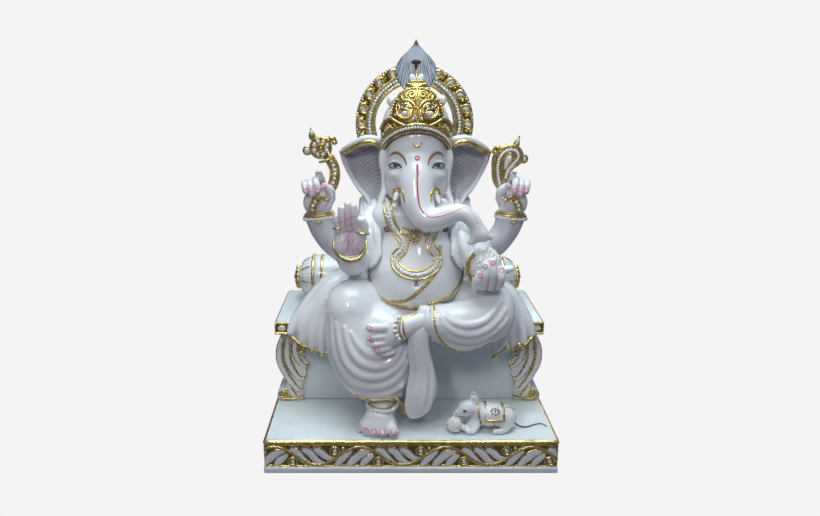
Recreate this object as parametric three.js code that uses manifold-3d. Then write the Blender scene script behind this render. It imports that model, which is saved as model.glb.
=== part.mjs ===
// Seated elephant-headed deity on a throne: a painted and gilded white marble idol.
// Millimetres. +Z is up, +X is to the viewer's right, -Y is the front. The origin is the
// centre of the plinth's underside. Every piece is a closed solid with a small gap to its neighbours.
import * as THREE from "three";
import { mergeVertices } from "three/addons/utils/BufferGeometryUtils.js";
import { ConvexGeometry } from "three/addons/geometries/ConvexGeometry.js";
import Module from "manifold-3d";

// ---------------------------------------------------------------- driving dimensions

const GAP = 0.35; // clearance between neighbouring pieces
const MID_X = 8; // the figure's own centre plane

const PLINTH = { width: 420, depth: 290, height: 52, step: 4, foot: 9, moulding: 8, inset: 0.6 };
const THRONE = { width: 376, front: -12, back: 128, top: 165 };
const SEAT = { width: 410, front: -28, back: 132, top: 187, band: 2 };
const LEG = { inner: 154, outer: 190, bulge: 207, front: -22, back: 30 };
const BOLSTER = { y: 88, r: 37, half: 178, end: 21 };
const HALO = { y: 51, depth: 24, inner: 59.5, outer: 89.5, z: 477, relief: 4 };

const BELLY = { at: [MID_X, -20, 264], r: [73, 75, 56] };
const CHEST = { at: [MID_X, -3, 330], r: [64, 54, 48] };
const SKULL = { at: [MID_X, -2, 430], r: [49, 48, 50] };
const CHEEK = { x: 24, y: -14, z: 402, r: [26, 28, 30] };
const CROWN = { z: 484, tilt: 0.37, band: 5.5 };

// ---------------------------------------------------------------- materials

function paint(colour, roughness, metalness) {
  return new THREE.MeshStandardMaterial({ color: colour, roughness, metalness });
}

const marble = paint(0xe9edf2, 0.22, 0);
const greyWash = paint(0x9fa1a8, 0.4, 0);
const gold = paint(0xc9a53c, 0.28, 0.9);
const pearl = paint(0xf3f1ec, 0.25, 0);
const plume = paint(0x8f98a8, 0.45, 0);

// ---------------------------------------------------------------- solids and booleans

const wasm = await Module();
wasm.setup();

// A closed three.js geometry as a boolean solid.
function toSolid(geometry) {
  const bare = geometry.clone();
  bare.deleteAttribute("normal");
  bare.deleteAttribute("uv");
  const merged = mergeVertices(bare, 1e-3);
  const made = new wasm.Manifold(
    new wasm.Mesh({
      numProp: 3,
      vertProperties: new Float32Array(merged.attributes.position.array),
      triVerts: new Uint32Array(merged.index.array),
    }),
  );
  return made;
}

function toGeometry(solid) {
  const mesh = solid.getMesh();
  const position = new Float32Array(mesh.numVert * 3);
  for (let i = 0; i < mesh.numVert; i++) {
    const start = i * mesh.numProp;
    position.set(mesh.vertProperties.subarray(start, start + 3), i * 3);
  }
  const geometry = new THREE.BufferGeometry();
  geometry.setAttribute("position", new THREE.BufferAttribute(position, 3));
  geometry.setIndex(new THREE.BufferAttribute(mesh.triVerts, 1));
  return geometry;
}

function join(...solids) {
  return solids.reduce((a, b) => a.add(b));
}

// The solid less each cutter, keeping only its largest piece.
function carve(solid, ...cutters) {
  const cut = cutters.reduce((a, b) => a.subtract(b), solid);
  const pieces = cut.decompose();
  return pieces.reduce((a, b) => (b.volume() > a.volume() ? b : a));
}

// ---------------------------------------------------------------- shapes

// An ellipsoid with its poles on Z. turn is an Euler rotation.
function ball(at, r, grow = 0, around = 10, along = 6, turn = [0, 0, 0]) {
  const g = new THREE.SphereGeometry(1, around, along).rotateX(Math.PI / 2);
  g.scale(r[0] + grow, r[1] + grow, r[2] + grow);
  const spin = new THREE.Matrix4().makeRotationFromEuler(new THREE.Euler(...turn));
  return toSolid(g.applyMatrix4(spin).translate(...at));
}

function sphere(at, r, grow = 0, around = 10, along = 6) {
  return ball(at, [r, r, r], grow, around, along);
}

function block(low, high, grow = 0) {
  const size = high.map((v, i) => v - low[i] + 2 * grow);
  const middle = high.map((v, i) => (v + low[i]) / 2);
  return toSolid(new THREE.BoxGeometry(...size).translate(...middle));
}

// A tapering round limb along a smooth curve, with domed ends.
function limb(points, radii, grow = 0, around = 8, rings = 6) {
  const curve = new THREE.CatmullRomCurve3(points.map((p) => new THREE.Vector3(...p)));
  const length = curve.getLength();
  const frames = curve.computeFrenetFrames(rings, false);
  const last = radii.length - 1;
  const radiusAt = (t) => {
    const i = Math.min(Math.floor(t * last), last - 1);
    return THREE.MathUtils.lerp(radii[i], radii[i + 1], t * last - i) + grow;
  };
  const profile = [];
  const dome = [1, 0.72, 0.38];
  const start = radiusAt(0);
  const finish = radiusAt(1);
  profile.push(new THREE.Vector2(0, -start));
  dome.slice(1).forEach((s) => {
    profile.push(new THREE.Vector2(start * Math.sqrt(1 - s * s), -start * s));
  });
  for (let i = 0; i <= rings; i++) {
    profile.push(new THREE.Vector2(radiusAt(i / rings), (length * i) / rings));
  }
  dome.slice(1).reverse().forEach((s) => {
    profile.push(new THREE.Vector2(finish * Math.sqrt(1 - s * s), length + finish * s));
  });
  profile.push(new THREE.Vector2(0, length + finish));
  const g = new THREE.LatheGeometry(profile, around);
  const position = g.attributes.position;
  const place = new THREE.Vector3();
  for (let i = 0; i < position.count; i++) {
    const along = position.getY(i);
    const t = THREE.MathUtils.clamp(along / length, 0, 1);
    const ring = Math.round(t * rings);
    place.copy(curve.getPoint(curve.getUtoTmapping(ring / rings)));
    place.addScaledVector(frames.tangents[ring], along - t * length);
    place.addScaledVector(frames.normals[ring], position.getX(i));
    place.addScaledVector(frames.binormals[ring], -position.getZ(i));
    position.setXYZ(i, place.x, place.y, place.z);
  }
  return outward(toSolid(g));
}

// A solid built inside out is turned right side out.
function outward(solid) {
  if (solid.volume() > 0) {
    return solid;
  }
  const mesh = solid.getMesh();
  const flipped = mesh.triVerts.slice();
  for (let i = 0; i < flipped.length; i += 3) {
    [flipped[i + 1], flipped[i + 2]] = [flipped[i + 2], flipped[i + 1]];
  }
  return new wasm.Manifold(
    new wasm.Mesh({ numProp: 3, vertProperties: mesh.vertProperties, triVerts: flipped }),
  );
}

// A flat outline in the XZ plane given depth from y = front to y = back.
function plate(outline, front, back, grow = 0) {
  const shape = new THREE.Shape(outline.map(([x, z]) => new THREE.Vector2(x, z)));
  const depth = back - front + 2 * grow;
  const g = new THREE.ExtrudeGeometry(shape, { depth, bevelEnabled: false, curveSegments: 4 });
  g.rotateX(Math.PI / 2).translate(0, back + grow, 0);
  return outward(toSolid(g));
}

// The convex solid round a set of points, moved out a little from its centre by grow.
function hull(points, grow = 0) {
  const places = points.map((p) => new THREE.Vector3(...p));
  const middle = new THREE.Vector3();
  places.forEach((p) => middle.addScaledVector(p, 1 / places.length));
  places.forEach((p) => p.addScaledVector(p.clone().sub(middle).normalize(), 2 * grow));
  return outward(toSolid(new ConvexGeometry(places)));
}

// A flat ring about an axis along Y, from radius inner to outer.
function flatRing(x, z, inner, outer, front, back, grow = 0, around = 32) {
  const profile = [
    [inner - grow, 0],
    [outer + grow, 0],
    [outer + grow, back - front + 2 * grow],
    [inner - grow, back - front + 2 * grow],
    [inner - grow, 0],
  ].map(([r, y]) => new THREE.Vector2(r, y));
  const g = new THREE.LatheGeometry(profile, around).translate(x, front - grow, z);
  return outward(toSolid(g));
}

// A round ring about an axis that starts as Z and is turned by an Euler rotation.
function torus(at, radii, tube, turn = [0, 0, 0], grow = 0, around = 24, sides = 6) {
  const g = new THREE.TorusGeometry(1, 0.1, sides, around);
  const position = g.attributes.position;
  for (let i = 0; i < position.count; i++) {
    const angle = Math.atan2(position.getY(i), position.getX(i));
    const out = (Math.hypot(position.getX(i), position.getY(i)) - 1) * 10;
    const reach = out * (tube + grow);
    position.setXYZ(
      i,
      Math.cos(angle) * (radii[0] + reach),
      Math.sin(angle) * (radii[1] + reach),
      position.getZ(i) * 10 * (tube + grow),
    );
  }
  const spin = new THREE.Matrix4().makeRotationFromEuler(new THREE.Euler(...turn));
  return outward(toSolid(g.applyMatrix4(spin).translate(...at)));
}

// A strip of round section along a curve.
function strip(points, radius, grow = 0, steps = 24, sides = 3) {
  const curve = new THREE.CatmullRomCurve3(points.map((p) => new THREE.Vector3(...p)));
  const shape = new THREE.Shape();
  shape.absarc(0, 0, radius + grow, 0, 2 * Math.PI, false);
  const options = { steps, extrudePath: curve, bevelEnabled: false, curveSegments: sides };
  return outward(toSolid(new THREE.ExtrudeGeometry(shape, options)));
}

// The front y of an ellipsoid's surface at a given x and z.
function frontOf(body, x, z) {
  const u = (x - body.at[0]) / body.r[0];
  const w = (z - body.at[2]) / body.r[2];
  return body.at[1] - body.r[1] * Math.sqrt(Math.max(0.02, 1 - u * u - w * w));
}

// Points on whichever of belly and chest stands further forward.
function onTrunkOfBody(points, lift = 0) {
  return points.map(([x, z]) => {
    const y = Math.min(frontOf(BELLY, x, z), frontOf(CHEST, x, z));
    return [x, y - lift, z];
  });
}

function mirrored([x, y, z], side) {
  return [MID_X + side * x, y, z];
}

// ---------------------------------------------------------------- the exported group

const idol = new THREE.Group();

function add(name, solid, material) {
  const mesh = new THREE.Mesh(toGeometry(solid), material);
  mesh.name = name;
  idol.add(mesh);
}

// ---------------------------------------------------------------- plinth

const halfWidth = PLINTH.width / 2;
const halfDepth = PLINTH.depth / 2;
const friezeTop = PLINTH.height - PLINTH.moulding;

// The marble slab, stepped in above its foot on the front and sides, where the gilding goes.
function plinthForm(grow = 0) {
  const inX = halfWidth - PLINTH.step;
  const inY = -halfDepth + PLINTH.step;
  return join(
    block([-inX, inY, 0], [inX, halfDepth, PLINTH.height], grow),
    block([-halfWidth, -halfDepth, 0], [halfWidth, halfDepth, PLINTH.foot], grow),
  );
}

// A band that wraps the front and both sides of the slab, from z = low to z = high.
function plinthWrap(low, high, inset) {
  return block(
    [-halfWidth + inset, -halfDepth + inset, low],
    [halfWidth - inset, halfDepth, high],
  );
}

add("plinth_slab", plinthForm(), marble);
add(
  "plinth_top_moulding",
  carve(plinthWrap(friezeTop, PLINTH.height, 0), plinthForm(GAP)),
  gold,
);
add(
  "plinth_scroll_frieze",
  carve(plinthWrap(PLINTH.foot + GAP, friezeTop - GAP, PLINTH.inset), plinthForm(GAP)),
  gold,
);

// ---------------------------------------------------------------- throne

function throneForm(grow = 0) {
  const half = THRONE.width / 2;
  return block(
    [-half, THRONE.front, PLINTH.height + GAP],
    [half, THRONE.back, THRONE.top],
    grow,
  );
}

function seatForm(grow = 0) {
  const half = SEAT.width / 2;
  return block([-half, SEAT.front, THRONE.top + GAP], [half, SEAT.back, SEAT.top], grow);
}

// The acanthus bracket at each front corner: a bulging leaf above a rolled foot.
function legOutline(side) {
  const low = PLINTH.height + GAP;
  const high = THRONE.top - GAP;
  const outline = [
    [LEG.inner + 14, low],
    [LEG.bulge - 3, low],
    [LEG.bulge - 1, low + 12],
    [LEG.bulge - 8, low + 20],
    [LEG.bulge - 16, low + 26],
    [LEG.bulge - 8, low + 42],
    [LEG.bulge, low + 62],
    [LEG.bulge - 1, low + 84],
    [LEG.outer + 6, high],
    [LEG.inner + 6, high],
    [LEG.inner, high - 14],
    [LEG.inner + 8, high - 34],
    [LEG.inner + 2, high - 52],
    [LEG.inner + 10, high - 72],
  ];
  return outline.map(([x, z]) => [side * x, z]);
}

function legForm(side, grow = 0) {
  return plate(legOutline(side), LEG.front, LEG.back, grow);
}

const throneBlock = carve(throneForm(), legForm(-1, GAP), legForm(1, GAP));
add("throne_block", throneBlock, marble);
add("throne_leg_left", legForm(-1), marble);
add("throne_leg_right", legForm(1), marble);

// The seat's edge carries a gilded band on its front and sides.
const seatBandOuter = block(
  [-SEAT.width / 2, SEAT.front, THRONE.top + GAP + 1],
  [SEAT.width / 2, SEAT.back, SEAT.top - 1],
);
const seatCore = (grow) =>
  block(
    [-SEAT.width / 2 + SEAT.band, SEAT.front + SEAT.band, THRONE.top - 5],
    [SEAT.width / 2 - SEAT.band, SEAT.back + 5, SEAT.top + 5],
    grow,
  );
const seatSlab = seatForm().intersect(seatCore(0));
add("seat_slab", seatSlab, marble);
add("seat_edge_band", carve(seatBandOuter, seatCore(GAP)), gold);

// ---------------------------------------------------------------- bolster

const bolsterZ = SEAT.top + GAP + BOLSTER.r;

// A stuffed roll lying across the seat, drawn in at both ends.
function bolsterForm(grow = 0) {
  const ends = [
    [0, -BOLSTER.half],
    [BOLSTER.end, -BOLSTER.half],
    [BOLSTER.r * 0.82, -BOLSTER.half + 14],
    [BOLSTER.r * 0.97, -BOLSTER.half + 30],
    [BOLSTER.r, -BOLSTER.half + 48],
  ];
  const back = ends.map(([r, y]) => [r, -y]).reverse();
  const profile = [...ends, ...back].map(([r, y]) => {
    return new THREE.Vector2(r && r + grow, y + Math.sign(y) * grow);
  });
  const g = new THREE.LatheGeometry(profile, 20).rotateZ(-Math.PI / 2);
  return outward(toSolid(g.translate(MID_X - 8, BOLSTER.y, bolsterZ)));
}

function rosette(side) {
  const profile = [
    [0, 0],
    [BOLSTER.end - 2, 0],
    [BOLSTER.end, 4],
    [BOLSTER.end * 0.6, 8],
    [0, 10],
  ].map(([r, y]) => new THREE.Vector2(r, y));
  const g = new THREE.LatheGeometry(profile, 16).rotateZ(-Math.PI / 2 * side);
  return outward(toSolid(g.translate(side * (BOLSTER.half + GAP), BOLSTER.y, bolsterZ)));
}

add("bolster", bolsterForm(), marble);
add("bolster_rosette_left", rosette(-1), gold);
add("bolster_rosette_right", rosette(1), gold);

// ---------------------------------------------------------------- torso, head and trunk

function torsoForm(grow = 0) {
  const shoulders = limb(
    [mirrored([62, 6, 346], -1), [MID_X, 4, 356], mirrored([62, 6, 346], 1)],
    [25, 32, 25],
    grow,
    8,
    4,
  );
  return join(
    ball(BELLY.at, BELLY.r, grow, 14, 8),
    ball(CHEST.at, CHEST.r, grow, 12, 8),
    shoulders,
  );
}

const TRUNK_PATH = [
  [0, -34, 414],
  [1, -50, 394],
  [3, -62, 374],
  [12, -72, 359],
  [30, -80, 358],
  [48, -86, 365],
  [63, -89, 372],
  [76, -90, 368],
  [85, -91, 354],
  [88, -91, 340],
].map(([x, y, z]) => [MID_X + x, y, z]);
const TRUNK_RADII = [30, 27, 23.5, 20.5, 17, 14.5, 12.5, 11, 10.5, 11.5];

function trunkForm(grow = 0) {
  return limb(TRUNK_PATH, TRUNK_RADII, grow, 10, 14);
}

function headForm(grow = 0) {
  const cheek = (side) =>
    ball(mirrored([CHEEK.x, CHEEK.y, CHEEK.z], side), CHEEK.r, grow);
  return join(ball(SKULL.at, SKULL.r, grow, 14, 8), cheek(-1), cheek(1));
}

// ---------------------------------------------------------------- legs

const LEG_LEFT = {
  thigh: [[MID_X - 38, -8, 226], [MID_X - 70, -40, 232], [MID_X - 96, -72, 229]],
  thighR: [36, 38, 37],
  shin: [[MID_X - 92, -78, 214], [MID_X - 79, -84, 172], [MID_X - 62, -88, 136], [MID_X - 48, -95, 116]],
  shinR: [36, 42, 39, 25],
};
const LEG_RIGHT = {
  thigh: [[MID_X + 44, -6, 226], [MID_X + 82, -32, 226], [MID_X + 108, -62, 222]],
  thighR: [36, 37, 36],
  shin: [[MID_X + 104, -74, 206], [MID_X + 66, -90, 204], [MID_X + 30, -100, 207], [MID_X - 2, -106, 209]],
  shinR: [36, 36, 26, 15],
};

function legsForm(leg, grow = 0) {
  return join(
    limb(leg.thigh, leg.thighR, grow, 10, 3),
    limb(leg.shin, leg.shinR, grow, 10, 5),
  );
}

const FOOT_LEFT = [
  [MID_X - 47, -100, 94],
  [MID_X - 48, -108, 80],
  [MID_X - 49, -121, 68],
];

function footLeftForm(grow = 0) {
  const ankle = limb(FOOT_LEFT, [15.5, 16.5, 13], grow, 8, 3);
  const sole = ball([MID_X - 52, -119, PLINTH.height + 9.5], [29, 25, 11], grow, 12, 6);
  return join(ankle, sole);
}

function footRightForm(grow = 0) {
  const ankle = limb([[MID_X - 12, -112, 209], [MID_X - 30, -117, 206]], [14, 14], grow, 8, 2);
  const sole = ball([MID_X - 50, -122, 202], [26, 14, 23], grow, 10, 6, [0, 0.35, 0]);
  return join(ankle, sole);
}

// ---------------------------------------------------------------- arms and hands

const REAR_ARM = {
  path: [[62, 12, 344], [80, 18, 308], [100, 16, 286], [122, 9, 302], [141, 2, 340]],
  radii: [24, 23, 20, 20, 21],
};
const REAR_CUFF = [143, 1, 345];
const REAR_HAND = [143, -4, 369];

function rearArmForm(side, grow = 0) {
  return limb(REAR_ARM.path.map((p) => mirrored(p, side)), REAR_ARM.radii, grow, 8, 7);
}

function cuffForm(side, grow = 0) {
  return torus(mirrored(REAR_CUFF, side), [22, 21], 3, [0, side * 0.12, 0], grow, 16, 4);
}

function rearHandForm(side, grow = 0) {
  const palm = ball(mirrored(REAR_HAND, side), [21, 17, 21], grow);
  const fist = ball(mirrored([145, -12, 388], side), [21, 13, 11], grow);
  return join(palm, fist);
}

const FRONT_ARM_LEFT = [[MID_X - 74, -18, 330], [MID_X - 84, -40, 296], [MID_X - 91, -62, 289]];
const FRONT_ARM_RIGHT = [
  [MID_X + 76, -18, 330],
  [MID_X + 100, -30, 292],
  [MID_X + 98, -60, 276],
];

function frontArmLeftForm(grow = 0) {
  return limb(FRONT_ARM_LEFT, [22, 23, 22], grow, 10, 4);
}

function frontArmRightForm(grow = 0) {
  return limb(FRONT_ARM_RIGHT, [22, 20, 17], grow, 10, 4);
}

// The blessing hand, palm forward and fingers up.
function blessingHandForm(grow = 0) {
  const x = MID_X - 93;
  const palm = ball([x, -74, 324], [21, 13, 26], grow);
  const fingers = hull(
    [
      [x - 22, -80, 334],
      [x - 20, -72, 334],
      [x + 19, -80, 334],
      [x + 19, -72, 334],
      [x - 20, -84, 366],
      [x - 18, -76, 366],
      [x - 3, -86, 382],
      [x - 3, -78, 382],
      [x + 12, -84, 376],
      [x + 12, -76, 376],
    ],
    grow,
  );
  const thumb = limb([[x + 18, -76, 330], [x + 21, -84, 352]], [7, 6], grow, 6, 1);
  return join(palm, fingers, thumb);
}

const SWEET = [MID_X + 95, -84, 294];

function sweetForm(grow = 0) {
  return sphere(SWEET, 23, grow, 12, 8);
}

function givingHandForm(grow = 0) {
  const palm = ball([MID_X + 101, -88, 276], [25, 22, 13], grow);
  const fingers = ball([MID_X + 104, -102, 281], [22, 10, 17], grow);
  return join(palm, fingers);
}

// ---------------------------------------------------------------- ears

const EAR = [
  [36, 2, 452],
  [55, -2, 462],
  [78, 2, 459],
  [108, 14, 441],
  [92, 14, 404],
  [74, 10, 372],
  [56, 4, 353],
  [44, 0, 376],
  [40, 0, 410],
];

// Each ear is a thin shell, dished towards the front and hung from the side of the head.
function earForm(side, grow = 0) {
  const front = EAR.map((p) => mirrored(p, side));
  const back = front.map(([x, y, z]) => [x, y + 9, z]);
  return hull([...front, ...back], grow);
}

function earRimForm(side, grow = 0) {
  const path = [[40, -2, 452], [56, -7, 463], [80, -3, 459], [107, 9, 441]];
  return strip(path.map((p) => mirrored(p, side)), 4, grow, 8);
}

// ---------------------------------------------------------------- carving the body apart

add("torso", carve(torsoForm(), bolsterForm(GAP), seatForm(GAP)), marble);
add("head", carve(headForm(), torsoForm(GAP)), marble);
add("trunk", carve(trunkForm(), headForm(GAP), torsoForm(GAP)), marble);

const body = (grow) => [torsoForm(grow), seatForm(grow), bolsterForm(grow), throneForm(grow)];
add("sweet_ball", carve(sweetForm(), trunkForm(GAP), ...body(GAP)), pearl);

const hands = (grow) => [blessingHandForm(grow), givingHandForm(grow), sweetForm(grow)];

add(
  "leg_folded_right",
  carve(legsForm(LEG_RIGHT), ...body(GAP), givingHandForm(GAP), sweetForm(GAP)),
  marble,
);
const feet = (grow) => [footLeftForm(grow), footRightForm(grow)];
add(
  "leg_hanging_left",
  carve(legsForm(LEG_LEFT), ...body(GAP), legsForm(LEG_RIGHT, GAP), ...feet(GAP), plinthForm(GAP)),
  marble,
);
add("foot_planted", carve(footLeftForm(), plinthForm(GAP), throneForm(GAP)), marble);
add("foot_raised", carve(footRightForm(), legsForm(LEG_RIGHT, GAP)), marble);

add("hand_blessing", carve(blessingHandForm(), frontArmLeftForm(GAP)), marble);
add(
  "hand_giving",
  carve(givingHandForm(), sweetForm(GAP), frontArmRightForm(GAP), torsoForm(GAP)),
  marble,
);
add(
  "arm_front_left",
  carve(frontArmLeftForm(), ...body(GAP), legsForm(LEG_LEFT, GAP)),
  marble,
);
add(
  "arm_front_right",
  carve(frontArmRightForm(), ...body(GAP), legsForm(LEG_RIGHT, GAP), sweetForm(GAP), trunkForm(GAP)),
  marble,
);

const frontArms = (grow) => [frontArmLeftForm(grow), frontArmRightForm(grow)];
for (const [side, name] of [[-1, "left"], [1, "right"]]) {
  const arm = carve(
    rearArmForm(side),
    ...body(GAP),
    ...frontArms(GAP),
    ...hands(GAP),
    cuffForm(side, GAP),
    rearHandForm(side, GAP),
    earForm(side, GAP),
  );
  add(`arm_rear_${name}`, arm, marble);
  add(`cuff_rear_${name}`, carve(cuffForm(side), rearHandForm(side, GAP)), gold);
  add(`hand_rear_${name}`, rearHandForm(side), marble);
}

// ---------------------------------------------------------------- ears, their gilt rims and the tusks

const headGroup = (grow) => [headForm(grow), torsoForm(grow), trunkForm(grow)];
for (const [side, name] of [[-1, "left"], [1, "right"]]) {
  add(`ear_${name}`, carve(earForm(side), ...headGroup(GAP), earRimForm(side, GAP)), greyWash);
  add(`ear_rim_${name}`, carve(earRimForm(side), headForm(GAP)), gold);
  const tusk = limb(
    [mirrored([25, -34, 388], side), mirrored([30, -50, 379], side)],
    [6, 4],
    0,
    6,
    1,
  );
  add(`tusk_${name}`, carve(tusk, headForm(GAP), trunkForm(GAP), torsoForm(GAP)), pearl);
}

// ---------------------------------------------------------------- crown and plume

function turbanForm(grow = 0) {
  const dome = ball([MID_X, 4, CROWN.z - 4], [49, 43, 44], grow, 12, 8);
  const above = block([MID_X - 90, -90, CROWN.z - 44], [MID_X + 90, 90, CROWN.z + 90]);
  return dome.intersect(above);
}

// The jewelled rim of the crown, tilted over the brow.
function browBandForm(grow = 0) {
  return torus([MID_X, -3, 455], [49.5, 50], CROWN.band, [-CROWN.tilt, 0, 0], grow, 20, 4);
}

const CREST = [
  [-50, 470],
  [-44, 492],
  [-30, 496],
  [-32, 512],
  [-22, 526],
  [0, 531],
  [22, 526],
  [32, 512],
  [30, 496],
  [44, 492],
  [50, 470],
  [26, 482],
  [0, 487],
  [-26, 482],
].map(([x, z]) => [MID_X + x, z]);

function crestForm(grow = 0) {
  return plate(CREST, -42, -24, grow);
}

const belowCrown = [headForm(GAP), browBandForm(GAP)];
const earForms = [-1, 1].flatMap((side) => [earForm(side, GAP), earRimForm(side, GAP)]);
add("crown_brow_band", carve(browBandForm(), headForm(GAP), ...earForms), gold);
const knob = (side) => ball(mirrored([28, -8, 519], side), [13, 10, 8], 0, 10, 6);
const bud = ball([MID_X, -16, 538], [11, 10, 15], 0, 10, 6);
add(
  "crown_turban",
  carve(join(turbanForm(), knob(-1), knob(1), bud), ...belowCrown, crestForm(GAP)),
  marble,
);
add("crown_crest_plate", carve(crestForm(), ...belowCrown), gold);

const PLUME = [
  [0, 520],
  [-14, 530],
  [-26, 542],
  [-30, 555],
  [-22, 572],
  [-8, 586],
  [0, 600],
  [8, 586],
  [22, 572],
  [30, 555],
  [26, 542],
  [14, 530],
].map(([x, z]) => [MID_X + x, z]);
const plumeForm = (grow) => plate(PLUME, 20, 29, grow);
add("crown_plume", carve(plumeForm(0), turbanForm(GAP)), plume);

// ---------------------------------------------------------------- halo

const haloBack = HALO.y + HALO.depth;
const haloFace = HALO.y + HALO.relief;
const haloRing = flatRing(MID_X, HALO.z, HALO.inner, HALO.outer - 2, haloFace, haloBack);
const behindHead = (grow) => [headForm(grow), torsoForm(grow), turbanForm(grow)];

// A short bridge of stone joins the foot of the halo to the nape of the neck.
function haloBridgeForm(grow = 0) {
  return block([MID_X - 34, 30, 372], [MID_X + 34, haloBack, HALO.z - 74], grow);
}

add("halo_ring", carve(join(haloRing, haloBridgeForm()), ...behindHead(GAP)), marble);
const rowCutters = [...behindHead(GAP), haloBridgeForm(GAP)];
const haloRows = [
  ["halo_inner_moulding", HALO.inner, HALO.inner + 6.5, gold],
  ["halo_bead_row", HALO.inner + 7, HALO.inner + 11.5, pearl],
  ["halo_scroll_band", HALO.inner + 12, HALO.outer, gold],
];
for (const [name, inner, outer, material] of haloRows) {
  const row = flatRing(MID_X, HALO.z, inner, outer, HALO.y, haloFace - GAP);
  add(name, carve(row, ...rowCutters), material);
}

// ---------------------------------------------------------------- objects in the rear hands

// A lotus wheel on a curved jewelled handle, and a noose on its handle.
const HANDLE = [[146, -24, 356], [144, -28, 374], [134, -24, 396], [123, -14, 416], [130, -8, 442]];
for (const [side, name] of [[-1, "wheel"], [1, "noose"]]) {
  const handle = strip(HANDLE.map((p) => mirrored(p, side)), 4.5, 0, 10);
  const disc = ball(mirrored([137, -8, 447], side), [19, 7, 18], 0, 12, 6);
  const finial = sphere(mirrored([145, -8, 465], side), 5, 0, 8, 4);
  add(`${name}_on_handle`, carve(join(handle, disc, finial), rearHandForm(side, GAP)), gold);
}

// ---------------------------------------------------------------- cloth carved in stone

// The hem of the lower garment spreads over the seat's edge on both sides.
function sideDrape(side, points) {
  const cutters = [
    ...body(GAP),
    legsForm(LEG_LEFT, GAP),
    legsForm(LEG_RIGHT, GAP),
    rearArmForm(side, GAP),
    ...frontArms(GAP),
    ...hands(GAP),
    legForm(side, GAP),
    block([-SEAT.width / 2, SEAT.front, THRONE.top], [SEAT.width / 2, SEAT.back, SEAT.top], GAP),
  ];
  return carve(hull(points), ...cutters);
}

const DRAPE_LEFT = [
  [MID_X - 92, 6, 262],
  [MID_X - 70, -40, 256],
  [MID_X - 192, -30, 178],
  [MID_X - 190, -44, 172],
  [MID_X - 150, 12, 196],
  [MID_X - 176, -46, 162],
  [MID_X - 134, -50, 140],
  [MID_X - 112, -50, 140],
  [MID_X - 108, -34, 150],
  [MID_X - 176, -34, 162],
  [MID_X - 104, -60, 220],
];
const DRAPE_RIGHT = [
  [MID_X + 110, 0, 256],
  [MID_X + 100, -40, 250],
  [MID_X + 178, -34, 180],
  [MID_X + 180, -44, 172],
  [MID_X + 150, 10, 196],
  [MID_X + 170, -46, 158],
  [MID_X + 128, -50, 138],
  [MID_X + 112, -50, 140],
  [MID_X + 108, -34, 150],
  [MID_X + 168, -34, 160],
];
add("drape_left", sideDrape(-1, DRAPE_LEFT), marble);
add("drape_right", sideDrape(1, DRAPE_RIGHT), marble);

// The long end of the sash hangs between the shins down to the plinth.
const sash = limb(
  [
    [MID_X + 12, -120, 222],
    [MID_X + 8, -124, 196],
    [MID_X + 8, -120, 158],
    [MID_X + 14, -116, 118],
    [MID_X + 6, -112, 78],
  ],
  [11, 14, 18, 22, 20],
  0,
  10,
  7,
);
const sashCutters = [
  ...body(GAP),
  legsForm(LEG_LEFT, GAP),
  legsForm(LEG_RIGHT, GAP),
  ...feet(GAP),
  plinthForm(GAP),
];
add("sash_hanging", carve(sash, ...sashCutters), marble);

// The stole lies over both shoulders and falls beside the chest.
function stole(side) {
  const path = [[40, 22, 372], [62, -8, 372], [68, -36, 348], [68, -44, 316]];
  return limb(path.map((p) => mirrored(p, side)), [16, 16, 14, 12], 0, 8, 5);
}

for (const [side, name] of [[-1, "left"], [1, "right"]]) {
  const cutters = [
    ...headGroup(GAP),
    earForm(side, GAP),
    rearArmForm(side, GAP),
    ...frontArms(GAP),
    ...hands(GAP),
    haloBridgeForm(GAP),
  ];
  add(`stole_${name}`, carve(stole(side), ...cutters), marble);
}

// ---------------------------------------------------------------- jewellery

const NECKLACE = [
  [-34, 366],
  [-31, 348],
  [-14, 325],
  [-22, 306],
  [-17, 291],
  [0, 284],
  [20, 288],
  [36, 302],
  [30, 320],
  [22, 330],
].map(([x, z]) => [MID_X + x, z]);
const necklace = strip(onTrunkOfBody(NECKLACE, 1.5), 4.6, 0, 22);
const necklaceCutters = [torsoForm(GAP), headForm(GAP), trunkForm(GAP)];
add("necklace", carve(necklace, ...necklaceCutters), gold);

const THREAD = [
  [40, 296],
  [40, 278],
  [28, 258],
  [6, 244],
  [-22, 238],
  [-40, 239],
].map(([x, z]) => [MID_X + x, z]);
const threadCutters = [
  torsoForm(GAP),
  strip(onTrunkOfBody(NECKLACE, 1.5), 4.6, GAP + 0.1, 22),
  legsForm(LEG_LEFT, GAP),
  legsForm(LEG_RIGHT, GAP),
];
add("sacred_thread", carve(strip(onTrunkOfBody(THREAD, 0.8), 3, 0, 14), ...threadCutters), gold);

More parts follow.
